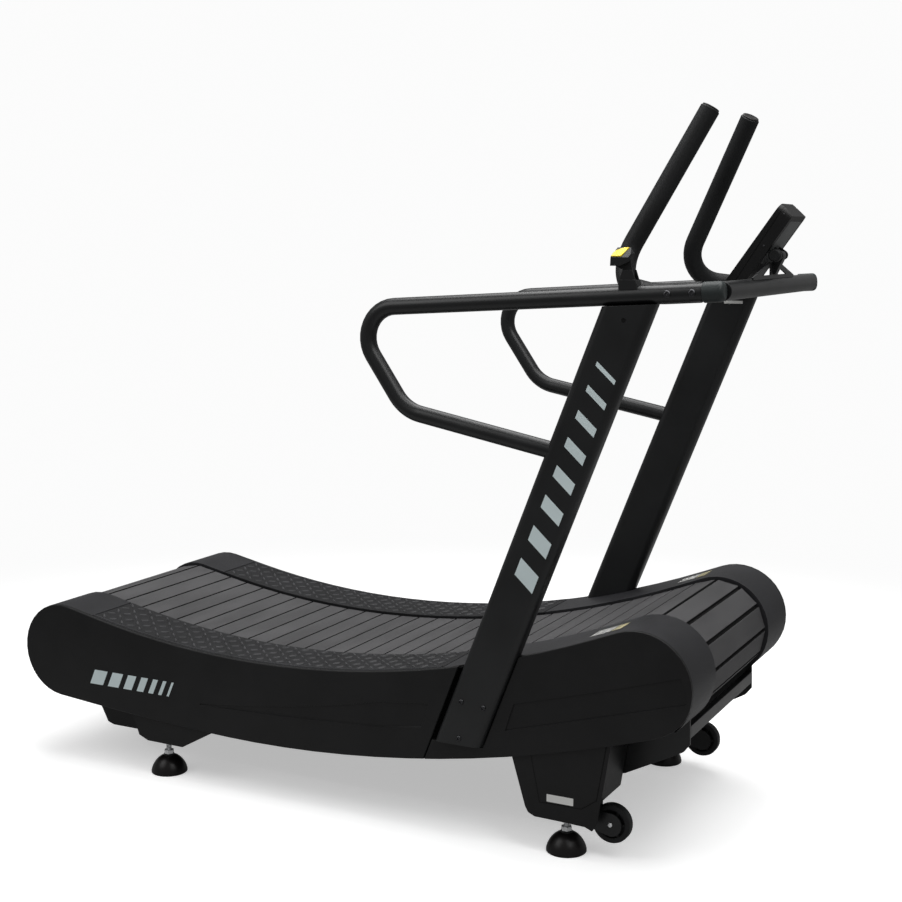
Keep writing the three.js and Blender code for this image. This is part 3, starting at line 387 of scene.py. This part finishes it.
def make_side_covers():
    """Side panels: a soft outer edge all round, crisp edges round the recess."""
    for name, _ in SIDES:
        for end in ("rear", "front"):
            node = f"{end}_side_cover_{name}"
            bm = clean_copy(node)
            outer = [e for e in sharp_edges(bm, 30) if all(abs(v.co.y) > 0.3935 for v in e.verts)]
            soft = [e for e in outer if is_perimeter(e, 0.006)]
            rounded(bm, soft, 0.0035, 3)
            recess = [e for e in sharp_edges(bm, 50) if all(abs(v.co.y) > 0.3905 for v in e.verts)]
            rounded(bm, recess, 0.0012, 2)
            inner = [e for e in sharp_edges(bm, 50) if all(abs(v.co.y) < 0.388 for v in e.verts)]
            rounded(bm, inner, 0.0012, 1)
            piece(node + "_finish", bm, COVER, "frame", (node,))


def tread_bar(length, width, height):
    """A low bar with sloping sides and tapered ends."""
    half, w = length / 2, width / 2
    base = [(-half, 0), (-half + 4, -w), (half - 4, -w), (half, 0), (half - 4, w), (-half + 4, w)]
    crown = [(x * 0.86, y * 0.5) for x, y in base]
    bm = bmesh.new()
    low = [bm.verts.new((x / 1000, y / 1000, -0.0004)) for x, y in base]
    high = [bm.verts.new((x / 1000, y / 1000, height / 1000)) for x, y in crown]
    bm.faces.new(low[::-1])
    bm.faces.new(high)
    for i in range(len(base)):
        j = (i + 1) % len(base)
        bm.faces.new((low[i], low[j], high[j], high[i]))
    return bm


BAR_STEP = 30  # spacing of the raised bars on a foot rail, both ways
BAR_ROWS = 5
FIRST_BAR = (22, 241)  # first bar: from the rear seam, and from the middle plane
BEAD_Y = 378.5  # rib along a foot rail's outer edge, from the middle plane
JOINT_SHADE_Y = 385.5  # joint between side covers and skins, where a near-black rod is painted shade in the gap; from the middle plane


def make_foot_rails():
    """Foot rails with rows of raised bars that lean alternately one way and the other."""
    columns = int((SEAMS[1] - SEAMS[0] - BAR_STEP) / BAR_STEP)
    for name, side in SIDES:
        node = f"foot_rail_{name}"
        refined(node, TREAD_BASE, 0.0025, 3)
        bars = []
        for i in range(columns + 1):
            for j in range(BAR_ROWS):
                x = SEAMS[0] + FIRST_BAR[0] + i * BAR_STEP
                y = side * (FIRST_BAR[1] + j * BAR_STEP)
                place, normal = touch(node, at(x, y, ABOVE_DECK), (0, 0, -1))
                lean = math.radians(45 if (i + j) % 2 else -45)
                bar = tread_bar(25.0, 6.5, 2.8)
                bar.transform(Matrix.Rotation(lean, 4, "Z"))
                bars.append(placed(bar, place, normal, Vector((0, 1, 0))))
        # the bars take the lighter copy of the tread plastic: painted highlight
        piece(f"tread_bars_{name}", merged(*bars), TREAD_BAR_LIT, "frame", smooth=20)
        bead = edge_bead(node, side * BEAD_Y)
        piece(f"foot_rail_bead_{name}", bead, TREAD, "frame", smooth=60)
        # near-black strips sunk in the rail's end gaps: painted shade
        piece(f"rail_end_gap_shades_{name}", rail_end_gap_shades(node), WEB_AND_SHADE, "frame")


def rail_end_gap_shades(node):
    """Near-black strips that close the narrow gaps at a foot rail's two ends, below its surface:
    painted shade in the gaps.
    """
    inset = 0.004  # where the rail's surface is measured, in from its end
    to_gap = 0.0058  # from there back to the middle of the gap
    sunk = 0.0045
    low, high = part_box(node)
    middle, half = (low.y + high.y) / 2, (high.y - low.y) * 500 - 0.5
    shade_strips = []
    for end, inward in ((low.x, 1), (high.x, -1)):
        start = (end + inward * inset, middle, ABOVE_DECK / 1000)
        place, normal = touch(node, start, (0, 0, -1))
        outwards = normal.cross(Vector((0, inward, 0)))
        shade_strip = prism([(-3, -half), (3, -half), (3, half), (-3, half)], 2)
        spot = place + outwards * to_gap - normal * sunk
        shade_strips.append(placed(shade_strip, spot, normal, Vector((0, 1, 0))))
    return merged(*shade_strips)


def edge_bead(node, y):
    """A half-round rib along a foot rail from seam to seam."""
    steps = 40
    sunk = Vector((0, 0, 0.0008))
    first, last = SEAMS[0] + 3.5, SEAMS[1] - 3.5
    points = []
    for i in range(steps + 1):
        x = first + (last - first) * i / steps
        points.append(touch(node, at(x, y, ABOVE_DECK), (0, 0, -1))[0] - sunk)
    headings = [(b - a).normalized() for a, b in zip(points, points[1:])]
    headings.append(headings[-1])
    return sweep(list(zip(points, headings)), 0.0032, 12, 0.0006)


def make_end_caps():
    """Smooth skins round the deck's ends, and a near-black rod in the joint between skins and side
    covers as painted shade.
    """
    for name, side in SIDES:
        for end in ("rear", "front"):
            refined(f"{end}_end_cap_{name}", TREAD, 0.0025, 3)
        # near-black rod sunk in the joint between skin and side cover: painted shade in the gap
        joint_shade_rod = sweep(seam_path(name, side * JOINT_SHADE_Y), 0.0019, 10, 0.0005)
        piece(f"cover_joint_shade_{name}", joint_shade_rod, WEB_AND_SHADE, "frame", smooth=60)


def seam_path(name, y):
    """Points and directions over the deck from under the rear drum to under the front drum."""
    depth = 0.0018  # how far the path runs below the surface
    rear, front = at(128, y, 307), at(1796.5, y, 434)  # drum axes
    points = []

    def sunk(node, start, direction):
        place, normal = touch(node, start, direction)
        points.append(place - normal * depth)

    def around(node, centre, first, last, steps):
        for k in range(steps + 1):
            a = math.radians(first + (last - first) * k / steps)
            ray = Vector((math.sin(a), 0, math.cos(a)))
            sunk(node, centre + ray * 0.2, -ray)

    def along(node, first, last, steps):
        for k in range(steps + 1):
            x = first + (last - first) * k / steps
            sunk(node, at(x, y, ABOVE_DECK), (0, 0, -1))

    around(f"rear_end_cap_{name}", rear, -164, 0, 40)
    along(f"rear_end_cap_{name}", 150, SEAMS[0] - 2, 4)
    along(f"foot_rail_{name}", SEAMS[0] + 6, SEAMS[1] - 6, 40)
    along(f"front_end_cap_{name}", SEAMS[1] + 2, 1330, 1)
    along(f"front_end_cap_{name}", 1522, 1780, 10)
    around(f"front_end_cap_{name}", front, 0, 135, 32)
    headings = [(b - a).normalized() for a, b in zip(points, points[1:])]
    headings.append(headings[-1])
    return list(zip(points, headings))


def make_belt():
    """Rubber slats with rounded edges over a black web; the slats' flanks and ends, down in the gaps,
    get the same near-black material as painted shade.
    """
    bm = clean_copy("slat_belt")
    for face in bm.faces:
        along = [v.co - face.calc_center_median() for v in face.verts]
        reach = max(math.hypot(v.x, v.z) for v in along)
        # small faces and sideways faces, the slats' flanks and ends in the gaps, take the near-black
        # material: painted shade
        face.material_index = 0 if reach > 0.02 and abs(face.normal.y) < 0.5 else 1
    tops = []
    for edge in sharp_edges(bm, 60):
        crosswise = abs((edge.verts[0].co - edge.verts[1].co).y) > 0.3
        if crosswise and any(f.material_index == 0 for f in edge.link_faces):
            tops.append(edge)
    rounded(bm, tops, 0.0012, 2)
    piece("slat_belt_finish", bm, [SLAT, WEB_AND_SHADE], "frame", ("slat_belt",), smooth=50)


# Name, material, and rear and front ends of each deck label, from the machine's rear end.
DECK_LABELS = (("plain", LABEL, 1662, 1711), ("cream", CREAM, 1713, 1738))
LABEL_SIDES = (276, 338)  # long edges of the deck labels, from the middle plane


def deck_sticker(node, x0, x1, side):
    """A thin sheet that follows the top of a node."""
    steps = 8
    sheet = bmesh.new()
    rows = []
    for k in range(steps + 1):
        x = x0 + (x1 - x0) * k / steps
        row = []
        for y in LABEL_SIDES:
            place, normal = touch(node, at(x, side * y, ABOVE_DECK), (0, 0, -1))
            row.append(sheet.verts.new(place + normal * 0.0008))
        rows.append(row)
    for a, b in zip(rows, rows[1:]):
        sheet.faces.new((a[0], b[0], b[1], a[1]))
    bmesh.ops.solidify(sheet, geom=sheet.faces[:], thickness=0.0003)
    return sheet


def make_deck_labels():
    """Blank stickers on the front end caps' tops."""
    for name, side in SIDES:
        for label, mat, x0, x1 in DECK_LABELS:
            sheet = deck_sticker(f"front_end_cap_{name}", x0, x1, side)
            piece(f"deck_label_{label}_{name}", sheet, mat, "frame")


# ---------------------------------------------------------------- inside the deck
def make_inner_frame():
    """Plates, tubes, drums, bearings and brake inside the deck."""
    for name, _ in SIDES:
        refined(f"side_frame_{name}", PAINT, 0.0006, 1)
        refined(f"guide_rail_{name}", STEEL, 0.0008, 1)
        for end in ("front", "rear"):
            refined(f"{end}_bearing_{name}", STEEL, 0.0012, 2)
    for node in ("cross_tube_rear", "cross_tube_front", "front_crossbar"):
        refined(node, PAINT, 0.0015, 2)
    refined("rear_crossbar", COVER, 0.002, 2)
    refined("front_roller", STEEL, 0.001, 2)
    refined("rear_roller", STEEL, 0.001, 2)
    refined("brake_disc", STEEL, 0.0008, 2)
    refined("magnet_arm", PAINT, 0.0008, 2)


# ---------------------------------------------------------------- uprights and rails
def rail_height(x):
    """Height of a handrail's top run, at a distance from the machine's rear end."""
    (x0, z0), (x1, z1) = RAIL_TOP
    return z0 + (x - x0) * (z1 - z0) / (x1 - x0)


def slanted_bars(widths, height, lean, gap):
    """A plain mark: upright bars of several widths, all leaning the same way."""
    bars = []
    x = 0.0
    for width in widths:
        outline = [(x, 0), (x + width, 0), (x + width + lean, height), (x + lean, height)]
        bars.append(prism(outline, 0.3))
        x += width + gap
    return merged(*bars)


def mark_on(name, bars, start, along, normal):
    """Lays a mark on a flat face, with its first bar at start and its bars set out along a line."""
    turn = Matrix((along, normal.cross(along), normal)).transposed().to_4x4()
    bars.transform(Matrix.Translation(start + normal * 0.0001) @ turn)
    piece(name, bars, MARK, "frame")


def make_marks():
    """Plain slanted stripes on the uprights' and rear covers' outer faces."""
    up = Vector((math.sin(UPRIGHT_TILT), 0, math.cos(UPRIGHT_TILT)))
    for name, side in SIDES:
        outward = Vector((0, side, 0))
        bars = slanted_bars([44, 38, 32, 28, 24, 20, 15, 10], 56, 22, 46)
        base, _ = touch(f"upright_{name}", at(1522, side * BESIDE, 636), -outward)
        mark_on(f"upright_mark_{name}", bars, base - outward.cross(up) * 0.028, up, outward)
        bars = slanted_bars([44, 36, 28, 22, 16, 11, 7], 40, 18, 17)
        forward = Vector((1, 0, 0))
        corner = at(225 if side < 0 else 510, side * 394, 228)
        if side > 0:
            forward = -forward
        mark_on(f"rear_cover_mark_{name}", bars, corner, forward, outward)


# The uprights' bolts and plug: from the machine's rear end, and height.
UPRIGHT_BOLTS = ((1366.7, 345), (1424.4, 338), (1360.4, 254.6))
UPRIGHT_PLUG = (1759, 1254)

# Painted shade: a near-black plate inside the deck behind each upright's foot, where the slit shows
# only shade; points from the machine's rear end.
POST_SHADE_PLATE = [(1225, 179), (1345, 199), (1452, 219), (1482, 300), (1328, 300), (1370, 408), (1318, 408)]

# Painted shade: a near-black strip behind the joint between the side covers, below each upright's foot.
JOINT_SHADE_STRIP = [(1246, 180), (1264, 181), (1288, 233), (1270, 233)]


def make_uprights():
    """Leaning posts with their bolts, plug and label, and near-black plates round their feet as painted
    shade in the gaps.
    """
    for name, side in SIDES:
        node = f"upright_{name}"
        refined(node, PAINT, 0.0012, 2)
        inward = (0, -side, 0)
        for i, (x, z) in enumerate(UPRIGHT_BOLTS, start=1):
            stuck(f"upright_bolt_{name}_{i}", button_head(7.0, 4.2), node,
                  at(x, side * BESIDE, z), inward, BOLT)
        plug = lathe([(0, 0), (5.2, 0), (5.2, 0.6), (4.2, 0.8), (4.0, 0.2), (0, 0.2)], 20)
        spot = at(UPRIGHT_PLUG[0], side * BESIDE, UPRIGHT_PLUG[1])
        stuck(f"upright_plug_{name}", plug, node, spot, inward, WEB_AND_SHADE)
        # near-black plate behind the slit at the upright's foot: painted shade
        shade_plate = prism(POST_SHADE_PLATE, 3)
        piece(f"post_shade_plate_{name}", standing(shade_plate, side, 0.353), WEB_AND_SHADE, "frame")
        # near-black strip behind the cover joint: painted shade in the gap
        strip = prism(JOINT_SHADE_STRIP, 2)
        piece(f"joint_shade_strip_{name}", standing(strip, side, 0.3842), WEB_AND_SHADE, "frame")
        sticker = prism(rounded_rectangle(50, 7.5, 1), 0.25)
        stuck(f"upright_label_{name}", sticker, node, at(1770, 0, 1264), (0, side, 0), LABEL)


SLEEVE_X = (1931, 1977)  # rear and front ends of the corner sleeves
SLEEVE_R = 22.5
SLEEVE_ROUNDING = 10  # radius of a corner sleeve's rounded front edge
RAIL_BOLT_X = (1854.8, 1909.7)


def make_rails():
    """Handrails with their bolts, corner sleeves and push handles, and the bar in front."""
    for name, side in SIDES:
        node = f"handrail_{name}"
        y = side * RAIL_Y
        end = SLEEVE_X[0] - 0.3
        corners = [at(end, y, rail_height(end)), at(RAIL_TOP[0][0], y, RAIL_TOP[0][1]),
                   at(1207.4, y, 1027.6), at(1600, y, 953)]
        rail = sweep(bent_path(corners, (0.075, 0.100), 12), 0.020, 36)
        piece(node + "_finish", rail, PAINT, "frame", (node,), smooth=50)
        make_corner_sleeve(name, y)
        make_push_handle(name, side)
        for i, x in enumerate(RAIL_BOLT_X, start=1):
            stuck(f"rail_bolt_{name}_{i}", button_head(8.5, 3.6), node,
                  at(x, side * BESIDE, rail_height(x)), (0, -side, 0), BOLT)
    x, z = RAIL_TOP[1]
    bar = sweep(bent_path([at(x, -368, z), at(x, 368, z)], ()), 0.021, 36)
    piece("front_bar_finish", bar, PAINT, "frame", ("front_bar",), smooth=50)


def make_corner_sleeve(name, y):
    """A plain sleeve with a rounded front edge on a handrail's front end."""
    node = f"corner_sleeve_{name}"
    start, tip = [at(x, y, rail_height(x)) for x in SLEEVE_X]
    length = (tip - start).length * 1000
    nose = []
    for k in range(7):
        a = math.pi / 2 * k / 6
        nose.append((SLEEVE_R - SLEEVE_ROUNDING * (1 - math.cos(a)),
                     length - SLEEVE_ROUNDING * (1 - math.sin(a))))
    sleeve = lathe([(0, 0), (SLEEVE_R - 0.8, 0), (SLEEVE_R, 0.8)] + nose + [(0, length)], 36)
    piece(node + "_finish", placed(sleeve, start, tip - start), GREY, "frame", (node,), smooth=50)


def make_push_handle(name, side):
    """A foam-sleeved handle with a domed plug in its open end."""
    y = 344.7
    corners = [at(1914, side * y, rail_height(1914)), at(1807, side * y, rail_height(1807)),
               at(1663, side * 238.7, 1330), at(1863.5, side * 156, 1720.7)]
    stations = bent_path(corners, (0.090, 0.090), 14)
    tip, direction = stations[-1]
    stations[-1] = (tip - direction * 0.004, direction)
    sleeve = sweep(stations, 0.023, lip=0.003)
    piece(f"push_handle_{name}_finish", sleeve, GRIP, "frame", (f"push_handle_{name}",), smooth=50)
    plug = lathe([(0, 0), (20.4, 0), (20.4, 1.6), (19.4, 2.8), (16.5, 3.4), (13.0, 3.0),
                  (12.0, 2.4), (0, 2.2)], 32)
    piece(f"push_handle_plug_{name}", placed(plug, stations[-1][0], direction), PAD, "frame")


# ---------------------------------------------------------------- legs, feet and wheels
def thread_profile(radius, low, high, pitch=1.75):
    """Profile of a threaded rod as a row of shallow V grooves."""
    profile = [(0, low), (radius - 0.8, low)]
    z = low
    while z + pitch < high:
        profile += [(radius, z + pitch * 0.35), (radius - 0.75, z + pitch * 0.85)]
        z += pitch
    return profile + [(radius - 0.8, high), (0, high)]


FOOT_DOME = [(0, 0), (46.5, 0), (48, 1.2), (48, 6.5), (47.2, 9.5), (45.0, 16.5), (41.5, 23.5),
             (36.5, 31), (30.5, 37.5), (23.5, 42.8), (17.0, 46.0), (14.5, 47.2), (14.0, 50.0),
             (12.5, 50.7), (0, 50.7)]
LEG_BOTTOMS = (("front", 84.5), ("rear", 91.5))


def make_feet():
    """Domed rubber feet on threaded studs, each with a nut below and a lock nut at the leg."""
    for name, _ in SIDES:
        for end, leg_bottom in LEG_BOTTOMS:
            pad_node, stud_node = f"{end}_foot_pad_{name}", f"{end}_foot_stud_{name}"
            low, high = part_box(pad_node)
            axis = Vector(((low.x + high.x) / 2, (low.y + high.y) / 2, 0))
            body = f"foot_{end}_{name}"
            pad = lathe(FOOT_DOME, 48)
            pad.transform(Matrix.Translation(axis))
            piece(pad_node + "_finish", pad, PAD, body, (pad_node,), smooth=40)
            stud = lathe(thread_profile(7.0, 50.9, 149.9), 20)
            stud.transform(Matrix.Translation(axis))
            piece(stud_node + "_finish", stud, ZINC, body, (stud_node,), smooth=20)
            for label, z in (("lower", 51.0), ("lock", leg_bottom - 13)):
                nut = hex_nut(23, 10.0, 6.2)
                nut.transform(Matrix.Translation(axis + Vector((0, 0, z / 1000))))
                rides = body if label == "lower" else "frame"
                piece(f"{end}_foot_nut_{label}_{name}", nut, ZINC, rides, smooth=25)


LEG_FACE = 0.385  # front legs' outer faces, from the middle plane in metres


def make_legs():
    """Leg shells, each front one with a raised panel in a groove painted near-black as shade, and a
    blank label.
    """
    for name, side in SIDES:
        refined(f"front_leg_{name}", COVER, 0.0025, 3)
        refined(f"rear_leg_{name}", COVER, 0.0025, 3)
        refined(f"wheel_fork_{name}", PAINT, 0.0015, 2)
        outline = [(1527, 290), (1561, 125), (1665, 126), (1702, 152), (1725, 290)]
        panel = standing(prism(outline, 1.2, 1.0, 3), side, LEG_FACE)
        piece(f"front_leg_panel_{name}", panel, COVER, "frame")
        # near-black border round the raised panel: painted shade in its groove
        border = [(1525, 290), (1559.5, 123.2), (1665.5, 124.2), (1703.5, 151), (1727, 290)]
        groove = standing(prism(border, 0.15), side, LEG_FACE)
        piece(f"front_leg_groove_shade_{name}", groove, WEB_AND_SHADE, "frame")
        label = prism(rounded_rectangle(67, 18, 1.5), 0.3)
        spot = at(1612, side * 386.2, 138)
        piece(f"front_leg_label_{name}", placed(label, spot, Vector((0, side, 0))), LABEL, "frame")


def make_wheels():
    """Rubber-tyred wheels with a spoked hub and an axle bolt."""
    tyre = [(34, -11.5), (36, -12.5), (43, -12.5), (45.6, -11), (46.5, -8), (46.5, 8),
            (45.6, 11), (43, 12.5), (36, 12.5), (34, 11.5), (34, -11.5)]
    hub = [(5.8, -12), (12, -12), (13.5, -10.5), (13.5, 10.5), (12, 12), (5.8, 12), (5.8, -12)]
    web = [(13.0, -2.5), (34.2, -2.5), (34.2, 2.5), (13.0, 2.5), (13.0, -2.5)]
    for name, side in SIDES:
        node = f"transport_wheel_{name}"
        low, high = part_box(node)
        centre = (low + high) / 2
        parts = [lathe(tyre, 48), lathe(hub, 32), lathe(web, 48)]
        centred = Matrix.Translation((0, 0, -0.010))
        for i in range(6):
            spoke = prism([(12.5, -2.2), (34.5, -3.2), (34.5, 3.2), (12.5, 2.2)], 20, 1.0)
            spoke.transform(Matrix.Rotation(i * math.pi / 3, 4, "Z") @ centred)
            parts.append(spoke)
        piece(node + "_finish", placed(merged(*parts), centre, Vector((0, side, 0))), GRIP,
              f"wheel_{name}", (node,), smooth=35)
        spot = Vector((centre.x, side * 0.353, centre.z))
        head = placed(button_head(5.5, 3.2), spot, Vector((0, side, 0)))
        piece(f"axle_bolt_{name}", head, ZINC, "frame")


# ---------------------------------------------------------------- lever and console
def make_lever():
    """The brake lever, with a yellow cap on its head's sloping top."""
    refined("lever_base", PAINT, 0.003, 3)
    refined("resistance_lever", GRIP, 0.0025, 3)
    slope = Vector((0, -0.461, 0.887))
    outline = [(-15, -20), (8, -20), (10, -4), (14, 20), (3, 20), (-12, 6), (-15, -4)]
    cap = placed(prism(outline, 2.0, 1.2, 3), at(1741, -388, 1399), slope, Vector((0, 0.887, 0.461)))
    piece("lever_cap", cap, YELLOW, "lever")


def console_frame():
    """Rotation and origin of the console: X across to the right, Y up the face, Z out of the face."""
    up = Vector((math.cos(CONSOLE_TILT), 0, math.sin(CONSOLE_TILT)))
    out = Vector((-math.sin(CONSOLE_TILT), 0, math.cos(CONSOLE_TILT)))
    across = up.cross(out)
    turn = Matrix((across, up, out)).transposed().to_4x4()
    return Matrix.Translation(at(CONSOLE_CORNER[0], 0, CONSOLE_CORNER[1])) @ turn


def on_console(bm, x, y, z):
    """Moves a bmesh to a place in the console's own directions, in millimetres."""
    bm.transform(console_frame() @ Matrix.Translation(Vector((x, y, z)) / 1000))
    return bm


CONSOLE_SCREWS = ((119, 26), (203, 21))  # up the face, and depth below it
SCREEN_PANELS = ((182, 22), (150, 22), (112, 34))  # up the face, and height


def make_console():
    """The console: screen with three blank panels, keys, side screws and a strip on its back."""
    refined("console_housing", COVER, 0.002, 3)
    refined("console_bracket", PAINT, 0.0008, 2)
    refined("console_knob", GRIP, 0.001, 2)
    for i in (1, 2, 3):
        refined(f"console_key_{i}", SILVER, 0.001, 3)
    screen = prism(rounded_rectangle(98, 122, 6), 1.2, 0.4)
    piece("screen_cover", on_console(screen, 0, 140, -1.0), GLASS, "console")
    for i, (y, height) in enumerate(SCREEN_PANELS, start=1):
        panel = prism(rounded_rectangle(84, height, 2), 0.3)
        piece(f"screen_panel_{i}", on_console(panel, 0, y, 0.25), LCD, "console")
    for name, side in (("left", -1), ("right", 1)):
        for i, (y, depth) in enumerate(CONSOLE_SCREWS, start=1):
            spot = console_frame() @ Vector((side * 0.062, y / 1000, -depth / 1000))
            screw = placed(button_head(2.6, 1.2), spot, Vector((0, -side, 0)))
            piece(f"console_screw_{name}_{i}", screw, BOLT, "console")
    strip = prism(rounded_rectangle(96, 118, 6), 0.8, 0.4)
    strip.transform(Matrix.Rotation(math.pi, 4, "Y"))
    piece("console_back_strip", on_console(strip, 0, 138, -39.8), SILVER, "console")


# ---------------------------------------------------------------- stage
def seen_or_lit(nodes, links, lit, seen):
    """A value that differs between what the camera sees and what lights the machine."""
    path = nodes.new("ShaderNodeLightPath")
    level = nodes.new("ShaderNodeMapRange")
    level.inputs["To Min"].default_value = lit
    level.inputs["To Max"].default_value = seen
    links.new(path.outputs["Is Camera Ray"], level.inputs["Value"])
    return level.outputs["Result"]


def floor_material():
    """Pale matt floor that fades into the white surround away from the machine."""
    mat = material("pale_floor", (0.80, 0.80, 0.80), 0.9, grain=0.0, mottle=0.01, shine=0.0)
    nodes, links = mat.node_tree.nodes, mat.node_tree.links
    shader = nodes["Principled BSDF"]
    tint = shader.inputs["Base Color"].links[0].from_socket
    dimmed = nodes.new("ShaderNodeVectorMath")
    dimmed.operation = "SCALE"
    links.new(tint, dimmed.inputs[0])
    links.new(seen_or_lit(nodes, links, 0.35, 1.0), dimmed.inputs["Scale"])
    links.new(dimmed.outputs["Vector"], shader.inputs["Base Color"])
    shader.inputs["Emission Color"].default_value = (1, 1, 1, 1)
    links.new(seen_or_lit(nodes, links, 0.10, 0.45), shader.inputs["Emission Strength"])

    place = nodes.new("ShaderNodeTexCoord")
    distance = nodes.new("ShaderNodeVectorMath")
    distance.operation = "LENGTH"
    links.new(place.outputs["Object"], distance.inputs[0])
    fade = nodes.new("ShaderNodeMapRange")
    fade.interpolation_type = "SMOOTHSTEP"
    fade.inputs["From Min"].default_value = 1.2
    fade.inputs["From Max"].default_value = 3.2
    links.new(distance.outputs["Value"], fade.inputs["Value"])
    glow = nodes.new("ShaderNodeEmission")
    links.new(seen_or_lit(nodes, links, 0.20, WHITE), glow.inputs["Strength"])
    blend = nodes.new("ShaderNodeMixShader")
    links.new(fade.outputs["Result"], blend.inputs["Fac"])
    links.new(shader.outputs["BSDF"], blend.inputs[1])
    links.new(glow.outputs["Emission"], blend.inputs[2])
    links.new(blend.outputs["Shader"], nodes["Material Output"].inputs["Surface"])
    return mat


def make_stage():
    """A wide plain floor."""
    floor = bmesh.new()
    bmesh.ops.create_grid(floor, x_segments=2, y_segments=2, size=40)
    mesh = bpy.data.meshes.new("floor")
    floor.to_mesh(mesh)
    floor.free()
    mesh.materials.append(floor_material())
    obj = bpy.data.objects.new("floor", mesh)
    bpy.context.scene.collection.objects.link(obj)


def area_light(name, spot, aim, size, power):
    """A rectangular lamp at a spot, turned towards its aim."""
    data = bpy.data.lights.new(name, "AREA")
    data.shape = "RECTANGLE"
    data.size, data.size_y = size
    data.energy = power
    obj = bpy.data.objects.new(name, data)
    obj.location = spot
    obj.rotation_euler = (Vector(aim) - Vector(spot)).to_track_quat("-Z", "Y").to_euler()
    bpy.context.scene.collection.objects.link(obj)


def make_lights():
    """Soft lamps from the rear right, the front right and above."""
    area_light("key", (-2.6, -3.2, 4.2), (0, 0, 0.6), (3.0, 3.0), 70)
    area_light("front", (3.2, -1.6, 4.2), (0.3, 0, 0.6), (2.4, 2.4), 60)
    area_light("top", (0.3, 0.6, 4.6), (0, 0, 0.5), (5.0, 3.4), 220)


def make_world():
    """White studio surround: bright to look at, but dim as a source of light."""
    world = bpy.data.worlds.new("studio")
    world.use_nodes = True
    nodes, links = world.node_tree.nodes, world.node_tree.links
    background = nodes["Background"]
    background.inputs["Color"].default_value = (1, 1, 1, 1)
    links.new(seen_or_lit(nodes, links, 0.25, WHITE), background.inputs["Strength"])
    bpy.context.scene.world = world
    bpy.context.scene.view_settings.view_transform = "Standard"


def make_camera():
    """A long lens at the machine's right front, just above the height of the handrails."""
    data = bpy.data.cameras.new("camera")
    data.lens = 59.99
    data.sensor_width = 36
    obj = bpy.data.objects.new("camera", data)
    obj.location = (1.9057, -3.4693, 1.4299)
    looking_down, turned_left = 8.074, 27.314
    obj.rotation_euler = (math.radians(90 - looking_down), 0, math.radians(turned_left))
    bpy.context.scene.collection.objects.link(obj)
    bpy.context.scene.camera = obj


make_camera()
make_side_covers()
make_foot_rails()
make_end_caps()
make_belt()
make_deck_labels()
make_inner_frame()
make_uprights()
make_marks()
make_rails()
make_feet()
make_legs()
make_wheels()
make_lever()
make_console()
make_stage()
make_lights()
make_world()
